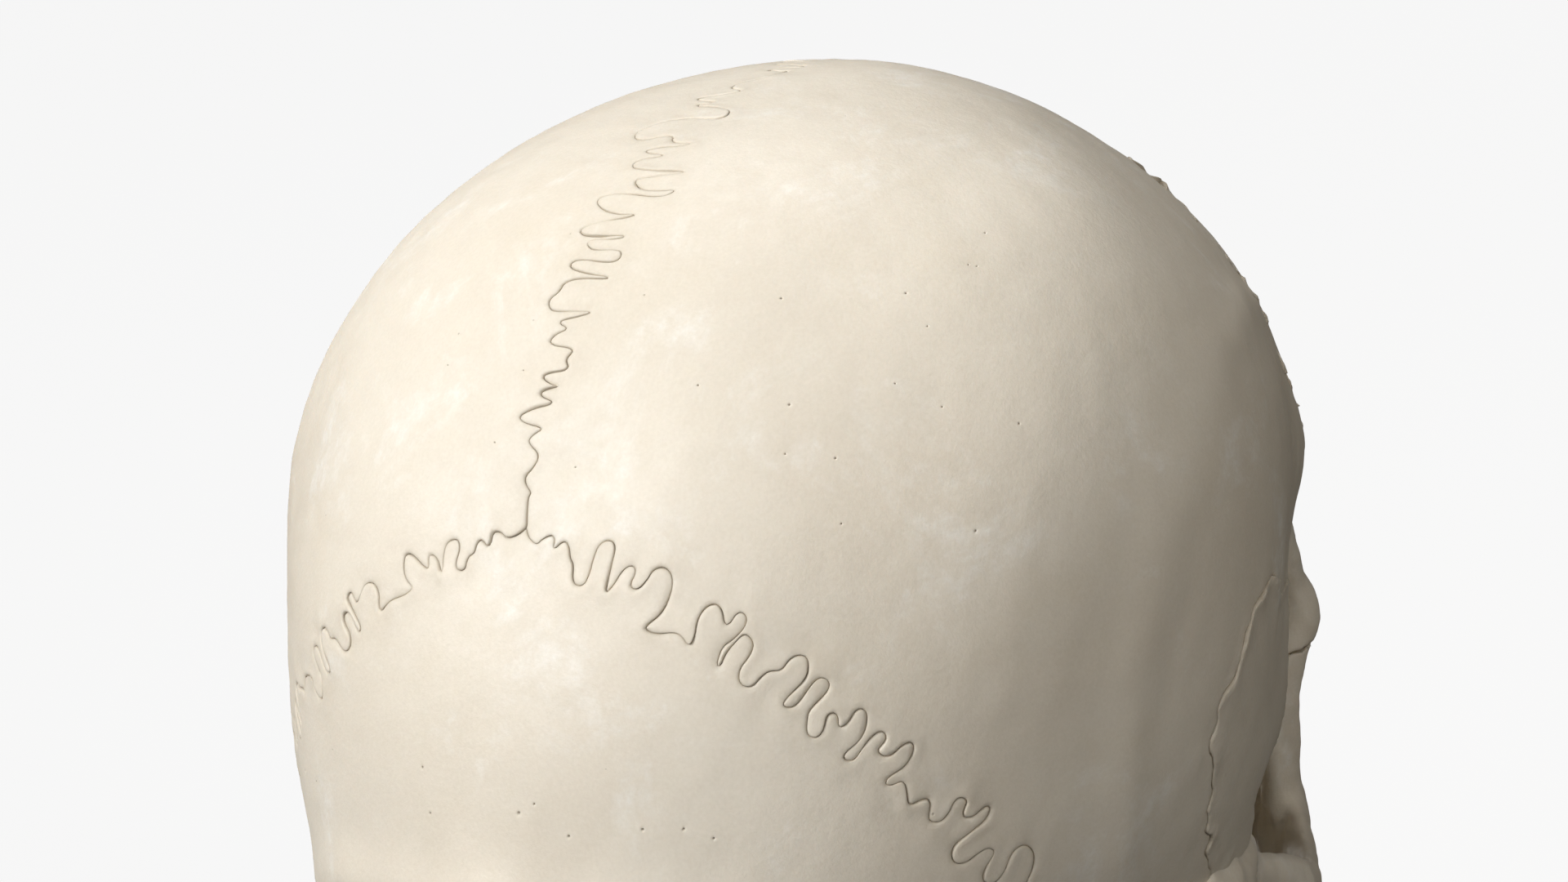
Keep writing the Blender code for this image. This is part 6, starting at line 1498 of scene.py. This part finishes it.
def build_mandible():
    b = Block((0, -98, -91), (64, 4, 1), 0.62)
    b.solid(((0, -98, -91), (52, -14, -42), jaw_body), 0.0, 2)
    poly = rounded(OUTLINE, 2.5)
    def ramus(X, Y, Z):
        x0 = np.interp(Z.ravel(), [-66, -50, -30, -10], [43.6, 44.6, 46.0, 48.6]).reshape(Z.shape)
        x0 = x0 - 4.6 * hump(-Y, 24, 42) * hump(-Z, 36, 58)
        th = np.interp(Z.ravel(), [-66, -56, -40, -30, -10], [4.4, 5.4, 5.2, 4.6, 3.8]).reshape(Z.shape)
        return smax(np.abs(X - x0 - th / 2) - th / 2, flat_distance(poly, Y, Z), 2.6)
    b.solid(((30, -54, -78), (60, 4, -2), ramus), 6.0, 1)
    b.bar([(0, -87.2, -81.5, 5.5, 5.0), (6, -86.4, -81.5, 5, 5.0)], 5.0)
    b.add(oval((0, -89.2, -76), (3.2, 3.2, 8.0), (-12, 0, 0)), 4.0)
    b.add(oval((11.5, -84.2, -83), (5.4, 4.6, 3.6)), 4.0)
    b.bar([(50.8, -36.5, -20, 1.8, 2.2), (50.2, -38.6, -34, 2.2, 2.6), (47.5, -42, -48, 2.6, 3.0), (42.5, -50, -59, 2.6, 3.2), (36.5, -60, -66, 2.2, 3.0)], 4.0, up=(1, 0, 0.2))
    b.bar([(38, -37, -55.5, 1.8, 2.2), (33.5, -50, -62, 1.8, 2.0), (26.0, -66, -70, 1.5, 1.8)], 3.0)
    b.bar([(50.6, -33.6, -12.5, 2.3, 1.9), (50.2, -34.6, -24, 3.0, 2.2)], 3.0, up=(1, 0, 0), gap=0)
    b.bar([(49, -9.5, -26, 2.9, 4.0), (49.8, -9.3, -16, 3.2, 3.4), (50.4, -9.5, -9, 6.0, 3.0)], 2.5, up=(0, 1, 0))
    b.add(oval((50.5, -9.5, -7.0), (9, 4.4, 4.4), (0, 0, -8)), 2.0)
    b.bar([(47.2, -8.6, -40, 2.2, 3.6), (46.2, -10.5, -52, 2.6, 3.6), (44.8, -19, -59, 2.8, 3.2)], 3.0)
    b.cut(oval((46.0, -22.5, -38), (1.8, 2.4, 4.2), (0, 0, 0)), 1.0)
    b.cut(oval((55.5, -22, -34), (2.2, 8.5, 13)), 4.0)
    b.cut(oval((26.6, -73.2, -68.6), (2.6, 3.0, 1.9), (0, 0, 20)), 1.0)
    b.bar([(26.8, -72.6, -68.6, 1.45, 1.5), (23.6, -71.6, -69.6, 1.3, 1.3)], 0.4, cut=True, gap=0)
    b.cut(oval((0, -80.8, -70), (10, 2.6, 9)), 3.0)
    b.bar([(0, -78.0, -79, 1.2, 1.4), (0, -77.8, -82, 1.4, 1.4)], 1.5, gap=0)
    juga(b, "lower", -1, 0.75)
    sockets(b, "lower", -1)
    v, f = skin(b, True, 0.04, 0.05)
    rough = np.exp(-(((np.abs(v[:, 0]) - 49) / 5) ** 2 + ((v[:, 1] + 13) / 10) ** 2 + ((v[:, 2] + 54) / 7) ** 2))
    slant = np.sin(v[:, 1] * 1.25 - v[:, 2] * 0.75 + 1.2 * SOFT(*(v * 0.6).T))
    v = v + normals(v, f) * (rough * 0.28 * slant)[:, None]
    finished("mandible_shape", v, f, ["mandible"], None)


# ---- small bones inside the face -----------------------------------------------------------------------------------------
def build_small():
    for stem, h, passes, grain in (("nasal", 0.32, 3, 0.03), ("lacrimal", 0.22, 1, 0.03), ("palatine", 0.34, 2, 0.04),
                                   ("inferior_concha", 0.3, 2, 0.10)):
        pair(stem, from_frame(stem + "_left", h, passes, grain))
    v, f = from_frame("vomer", 0.36, 2, 0.05)
    finished("vomer_shape", v, f, ["vomer"])
    v, f = from_frame("ethmoid", 0.42, 2, 0.0)
    n = normals(v, f)
    cells = np.clip(waves(77, 5, 9, 20)(*v.T), -0.6, 1.6) * hump(np.abs(v[:, 0]), 3, 5) * (1 - hump(np.abs(v[:, 0]), 9.0, 10.5))
    v = v + n * (0.45 * cells + 0.05 * FINE(*v.T))[:, None]
    sieve = hump(np.abs(v[:, 0]), 1.5, 2.0) * hump(-np.abs(v[:, 0]), -7.0, -6.0) * hump(v[:, 2], 20.5, 21.5)
    v[:, 2] -= 0.7 * sieve * np.maximum(0, np.sin(v[:, 0] * 3.1) * np.sin(v[:, 1] * 2.6)) ** 2
    finished("ethmoid_shape", v, f, ["ethmoid"])


for make in (build_frontal, build_temporal, build_sphenoid, build_teeth, build_maxilla, build_zygomatic, build_mandible, build_small):
    make()

# ---- tone of the light -----------------------------------------------------------------------------------------------
AMBIENT = 0.03
GLOW_NEAR, GLOW_FAR = 0.50, 0.88
LAMPS = [("key", (-0.83, 0.34, 0.45), 2.0, (0.6, 0.6), 30.0, (1.0, 1.0, 1.0)),
         ("top", (-0.23, 0.97, -0.09), 2.0, (0.6, 0.6), 15.5, (1.0, 1.0, 1.0)),
         ("crown", (0.15, 0.7, 0.7), 2.0, (0.6, 0.6), 3.0, (1.0, 1.0, 1.0)),
         ("right", (0.6, 0.3, 0.74), 2.0, (0.6, 0.6), 7.2, (1.0, 0.955, 0.87)),
         ("left", (-0.5, 0.2, 0.85), 2.0, (0.9, 0.9), 12.4, (1.0, 1.0, 1.0)),
         ("face", (0.05, -0.02, -1.0), 2.2, (0.9, 0.9), 24.0, (1.0, 0.97, 0.92))]


# ---- looks ------------------------------------------------------------------------------------------------------------
def nodes_of(name):
    m = bpy.data.materials.new(name)
    m.use_nodes = True
    t = m.node_tree
    return m, t, t.nodes["Principled BSDF"]


def node(t, kind, **values):
    n = t.nodes.new(kind)
    for k, v in values.items():
        if hasattr(n, k) and not k[0].isupper():
            setattr(n, k, v)
        else:
            n.inputs[k.replace("_", " ")].default_value = v
    return n


def bone_material(name="bone", tint=1.0):
    m, t, b = nodes_of(name)
    L = t.links.new
    pos = node(t, "ShaderNodeTexCoord")
    mm = node(t, "ShaderNodeVectorMath", operation="SCALE")
    mm.inputs["Scale"].default_value = 1000.0
    L(pos.outputs["Object"], mm.inputs[0])
    P = mm.outputs["Vector"]

    def noise(scale, detail=3.0, rough=0.55, dist=0.0):
        n = node(t, "ShaderNodeTexNoise")
        n.inputs["Scale"].default_value = scale
        n.inputs["Detail"].default_value = detail
        n.inputs["Roughness"].default_value = rough
        n.inputs["Distortion"].default_value = dist
        L(P, n.inputs["Vector"])
        return n.outputs["Fac"]

    def ramp(fac, *stops):
        r = node(t, "ShaderNodeValToRGB")
        e = r.color_ramp.elements
        e[0].position, e[0].color = stops[0][0], (*stops[0][1], 1)
        e[1].position, e[1].color = stops[-1][0], (*stops[-1][1], 1)
        for p, c in stops[1:-1]:
            x = e.new(p)
            x.color = (*c, 1)
        L(fac, r.inputs["Fac"])
        return r.outputs["Color"]

    def mix(fac, a, c, blend="MIX"):
        x = node(t, "ShaderNodeMix", data_type="RGBA", blend_type=blend)
        if isinstance(fac, float):
            x.inputs[0].default_value = fac
        else:
            L(fac, x.inputs[0])
        for sock, val in ((x.inputs[6], a), (x.inputs[7], c)):
            if isinstance(val, tuple):
                sock.default_value = (*val, 1)
            else:
                L(val, sock)
        return x.outputs[2]

    def math_(op, a, b_=None, clamp=False):
        x = node(t, "ShaderNodeMath", operation=op, use_clamp=clamp)
        for sock, val in zip(x.inputs, (a, b_)):
            if val is None:
                continue
            if isinstance(val, (int, float)):
                sock.default_value = val
            else:
                L(val, sock)
        return x.outputs[0]

    base = ramp(noise(0.022, 3.0), (0.30, (0.700, 0.622, 0.508)), (0.52, (0.755, 0.685, 0.574)), (0.72, (0.790, 0.728, 0.622)))
    # pale cloudy patches and their fine broken edges
    cloud = math_("MULTIPLY", ramp(noise(0.06, 7.0, 0.68, 0.6), (0.54, (0, 0, 0)), (0.66, (1, 1, 1))),
                  ramp(noise(0.35, 4.0, 0.7), (0.40, (0.15, 0.15, 0.15)), (0.62, (1, 1, 1))))
    col = mix(math_("MULTIPLY", cloud, 0.75), base, (0.865, 0.832, 0.765))
    # warmer, darker breath
    warm = ramp(noise(0.045, 5.0, 0.6, 0.3), (0.52, (0, 0, 0)), (0.75, (1, 1, 1)))
    col = mix(math_("MULTIPLY", warm, 0.30), col, (0.640, 0.545, 0.400))
    # grain
    grain = noise(2.2, 3.0, 0.6)
    col = mix(0.10, col, ramp(grain, (0.3, (0.5, 0.45, 0.36)), (0.7, (0.92, 0.88, 0.80))))
    # scattered pores: small dents in the bump, with painted shade inside them
    vor = node(t, "ShaderNodeTexVoronoi", feature="F1", distance="EUCLIDEAN")
    vor.inputs["Scale"].default_value = 0.16
    vor.inputs["Randomness"].default_value = 1.0
    L(P, vor.inputs["Vector"])
    pick = node(t, "ShaderNodeSeparateColor")
    L(vor.outputs["Color"], pick.inputs[0])
    some = math_("GREATER_THAN", pick.outputs[0], 0.45)
    size = math_("ADD", math_("MULTIPLY", pick.outputs[1], 0.020), 0.014)
    pore = math_("MULTIPLY", math_("SUBTRACT", 1.0, math_("DIVIDE", vor.outputs["Distance"], size), True), some)
    pore = math_("MINIMUM", math_("MULTIPLY", pore, 2.2), 1.0)
    # painted shade inside each tiny pore
    col = mix(math_("MULTIPLY", pore, 0.45), col, (0.26, 0.205, 0.14))
    # painted shade: near-black spots inside the shallow pore dents stand in for the shade of deep openings
    pit = node(t, "ShaderNodeAttribute", attribute_name="pit")
    col = mix(math_("MULTIPLY", pit.outputs["Fac"], 0.85), col, (0.150, 0.112, 0.070))
    # darker along the bones' edges: a patchy brownish band, and at the very edge a painted shade line for the narrow
    # suture groove
    seam = node(t, "ShaderNodeAttribute", attribute_name="seam")
    near = node(t, "ShaderNodeAttribute", attribute_name="near")
    patchy = ramp(noise(0.5, 3.0), (0.35, (0.25, 0.25, 0.25)), (0.65, (1, 1, 1)))
    edge_band = math_("MULTIPLY", math_("MULTIPLY", near.outputs["Fac"], 0.16), patchy)
    col = mix(edge_band, col, (0.45, 0.36, 0.24))
    # painted shade: a thin dark line at each bone's edge stands in for the shade inside the suture groove, which the
    # geometry leaves almost closed
    col = mix(math_("MULTIPLY", math_("POWER", seam.outputs["Fac"], 2.0), 0.42), col, (0.300, 0.245, 0.170))
    L(col, b.inputs["Base Color"])
    rough = ramp(noise(0.3, 4.0), (0.3, (0.46, 0.46, 0.46)), (0.7, (0.60, 0.60, 0.60)))
    L(rough, b.inputs["Roughness"])
    b.inputs["Specular IOR Level"].default_value = 0.34
    b.inputs["Subsurface Weight"].default_value = 0.06
    b.inputs["Subsurface Radius"].default_value = (1.0, 0.6, 0.35)
    b.inputs["Subsurface Scale"].default_value = 0.0015
    height = math_("ADD", math_("MULTIPLY", noise(0.9, 5.0, 0.6), 0.16), math_("MULTIPLY", noise(3.5, 2.0, 0.5), 0.05))
    height = math_("SUBTRACT", height, math_("MULTIPLY", pore, 0.35))
    bump = node(t, "ShaderNodeBump")
    bump.inputs["Strength"].default_value = 0.35
    bump.inputs["Distance"].default_value = 0.0009
    L(height, bump.inputs["Height"])
    L(bump.outputs["Normal"], b.inputs["Normal"])
    return m


BONE = bone_material()


def tooth_material():
    m, t, b = nodes_of("tooth")
    L = t.links.new
    pos = node(t, "ShaderNodeTexCoord")
    mm = node(t, "ShaderNodeVectorMath", operation="SCALE")
    mm.inputs["Scale"].default_value = 1000.0
    L(pos.outputs["Object"], mm.inputs[0])
    big = node(t, "ShaderNodeTexNoise")
    big.inputs["Scale"].default_value = 0.35
    big.inputs["Detail"].default_value = 3.0
    L(mm.outputs["Vector"], big.inputs["Vector"])
    crown = node(t, "ShaderNodeValToRGB")
    e = crown.color_ramp.elements
    e[0].position, e[0].color = 0.3, (0.735, 0.675, 0.545, 1)
    e[1].position, e[1].color = 0.7, (0.800, 0.752, 0.640, 1)
    L(big.outputs["Fac"], crown.inputs["Fac"])
    root = node(t, "ShaderNodeValToRGB")
    e = root.color_ramp.elements
    e[0].position, e[0].color = 0.3, (0.600, 0.500, 0.345, 1)
    e[1].position, e[1].color = 0.7, (0.680, 0.590, 0.430, 1)
    L(big.outputs["Fac"], root.inputs["Fac"])
    enamel = node(t, "ShaderNodeAttribute", attribute_name="enamel")
    x = node(t, "ShaderNodeMix", data_type="RGBA", blend_type="MIX")
    L(enamel.outputs["Fac"], x.inputs[0])
    L(root.outputs["Color"], x.inputs[6])
    L(crown.outputs["Color"], x.inputs[7])
    L(x.outputs[2], b.inputs["Base Color"])
    r = node(t, "ShaderNodeMapRange")
    r.inputs["To Min"].default_value = 0.55
    r.inputs["To Max"].default_value = 0.27
    L(enamel.outputs["Fac"], r.inputs["Value"])
    L(r.outputs["Result"], b.inputs["Roughness"])
    b.inputs["Specular IOR Level"].default_value = 0.45
    fine = node(t, "ShaderNodeTexNoise")
    fine.inputs["Scale"].default_value = 1.1
    fine.inputs["Detail"].default_value = 3.0
    L(mm.outputs["Vector"], fine.inputs["Vector"])
    bump = node(t, "ShaderNodeBump")
    bump.inputs["Strength"].default_value = 0.2
    bump.inputs["Distance"].default_value = 0.0005
    L(fine.outputs["Fac"], bump.inputs["Height"])
    L(bump.outputs["Normal"], b.inputs["Normal"])
    return m


TOOTH = tooth_material()


# ---- pieces ride on the bones' bodies -----------------------------------------------------------------------------------
BODY_OF = {n: body for body, members in frame["record"]["behaviour"]["bodies"].items() for n in members}
for name, (o, stands_for) in PIECES.items():
    o.data.materials.clear()
    o.data.materials.append(TOOTH if stands_for and stands_for[0].startswith(("upper_", "lower_")) else BONE)
    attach(o, BODY_OF[stands_for[0]])
    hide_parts(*stands_for)
shown = {n for _, s in PIECES.values() for n in s}
for n, o in frame["nodes"].items():
    if n not in shown:
        o.data.materials.clear()
        o.data.materials.append(BONE)

# ---- camera, table and light ----------------------------------------------------------------------------------------------
cam = bpy.data.cameras.new("camera")
cam.lens, cam.sensor_width = 50.0, 36.0
cam.clip_start, cam.clip_end = 0.01, 30
eye = bpy.data.objects.new("camera", cam)
bpy.context.scene.collection.objects.link(eye)
rot = Matrix([[float(a) for a in row] for row in np.stack([turned(RIGHT), turned(UP), turned(BACK)], axis=1)])
eye.matrix_world = Matrix.Translation(Vector(placed(EYE))) @ rot.to_4x4()
bpy.context.scene.camera = eye

w = bpy.data.worlds.new("studio")
bpy.context.scene.world = w
w.use_nodes = True
w.node_tree.nodes["Background"].inputs["Color"].default_value = (1.0, 0.985, 0.96, 1)
w.node_tree.nodes["Background"].inputs["Strength"].default_value = AMBIENT


def backdrop():
    """A pale floor that curves up far behind on every side."""
    rings, n = [], 96
    prof = [(0.0, 0.0), (0.35, 0.0), (1.2, 0.0), (3.0, 0.0), (4.2, 0.12), (5.0, 0.6), (5.4, 1.5), (5.6, 3.0), (5.6, 6.0)]
    verts = [(0, 0, -0.0002)]
    for r, z in prof[1:]:
        verts += [(r * math.cos(a), r * math.sin(a), z - 0.0002) for a in np.arange(n) * 2 * math.pi / n]
    faces = [(0, 1 + j, 1 + (j + 1) % n) for j in range(n)]
    for i in range(len(prof) - 2):
        for j in range(n):
            k = (j + 1) % n
            faces.append((1 + i * n + j, 1 + (i + 1) * n + j, 1 + (i + 1) * n + k, 1 + i * n + k))
    me = bpy.data.meshes.new("floor")
    me.from_pydata(verts, [], faces)
    me.shade_smooth()
    o = bpy.data.objects.new("floor", me)
    bpy.context.scene.collection.objects.link(o)
    m, t, b = nodes_of("paper")
    L = t.links.new
    pos = node(t, "ShaderNodeTexCoord")
    n1 = node(t, "ShaderNodeTexNoise")
    n1.inputs["Scale"].default_value = 6.0
    L(pos.outputs["Object"], n1.inputs["Vector"])
    r = node(t, "ShaderNodeValToRGB")
    r.color_ramp.elements[0].color = (0.485, 0.485, 0.48, 1)
    r.color_ramp.elements[1].color = (0.50, 0.50, 0.495, 1)
    L(n1.outputs["Fac"], r.inputs["Fac"])
    L(r.outputs["Color"], b.inputs["Base Color"])
    b.inputs["Roughness"].default_value = 0.9
    b.inputs["Specular IOR Level"].default_value = 0.0
    far = node(t, "ShaderNodeVectorMath", operation="LENGTH")
    L(pos.outputs["Object"], far.inputs[0])
    glow = node(t, "ShaderNodeMapRange", interpolation_type="SMOOTHSTEP")
    for key, val in (("From Min", 0.2), ("From Max", 2.6), ("To Min", GLOW_NEAR), ("To Max", GLOW_FAR)):
        glow.inputs[key].default_value = val
    L(far.outputs["Value"], glow.inputs["Value"])
    b.inputs["Emission Color"].default_value = (1.0, 1.0, 1.0, 1)
    L(glow.outputs["Result"], b.inputs["Emission Strength"])
    o.visible_diffuse = False
    o.visible_glossy = False
    # two lamps shine up past the edge of the table, so the floor doesn't block them
    o.visible_shadow = False
    me.materials.append(m)


backdrop()


def lamp(name, at, towards, size, watts, colour=(1, 1, 1), shape="RECTANGLE"):
    d = bpy.data.lights.new(name, "AREA")
    d.shape, d.size, d.size_y = shape, size[0], size[1]
    d.energy, d.color = watts, colour
    o = bpy.data.objects.new(name, d)
    o.location = at
    v = Vector(towards) - Vector(at)
    o.rotation_euler = v.to_track_quat("-Z", "Y").to_euler()
    bpy.context.scene.collection.objects.link(o)
    return o


def from_view(x, y, z):
    """World direction of camera-relative (right, up, towards the camera)."""
    return turned(RIGHT * x + UP * y + BACK * z)


AIM = Vector((0, 0, 0.085))
for name, direction, dist, size, watts, colour in LAMPS:
    d = unit(from_view(*direction))
    lamp(name, AIM + Vector(d) * dist, AIM, size, watts, colour)

bpy.context.scene.view_settings.view_transform = "Standard"
bpy.context.scene.view_settings.look = "None"
bpy.context.scene.view_settings.exposure = 0.0
bpy.context.scene.view_settings.gamma = 1.0
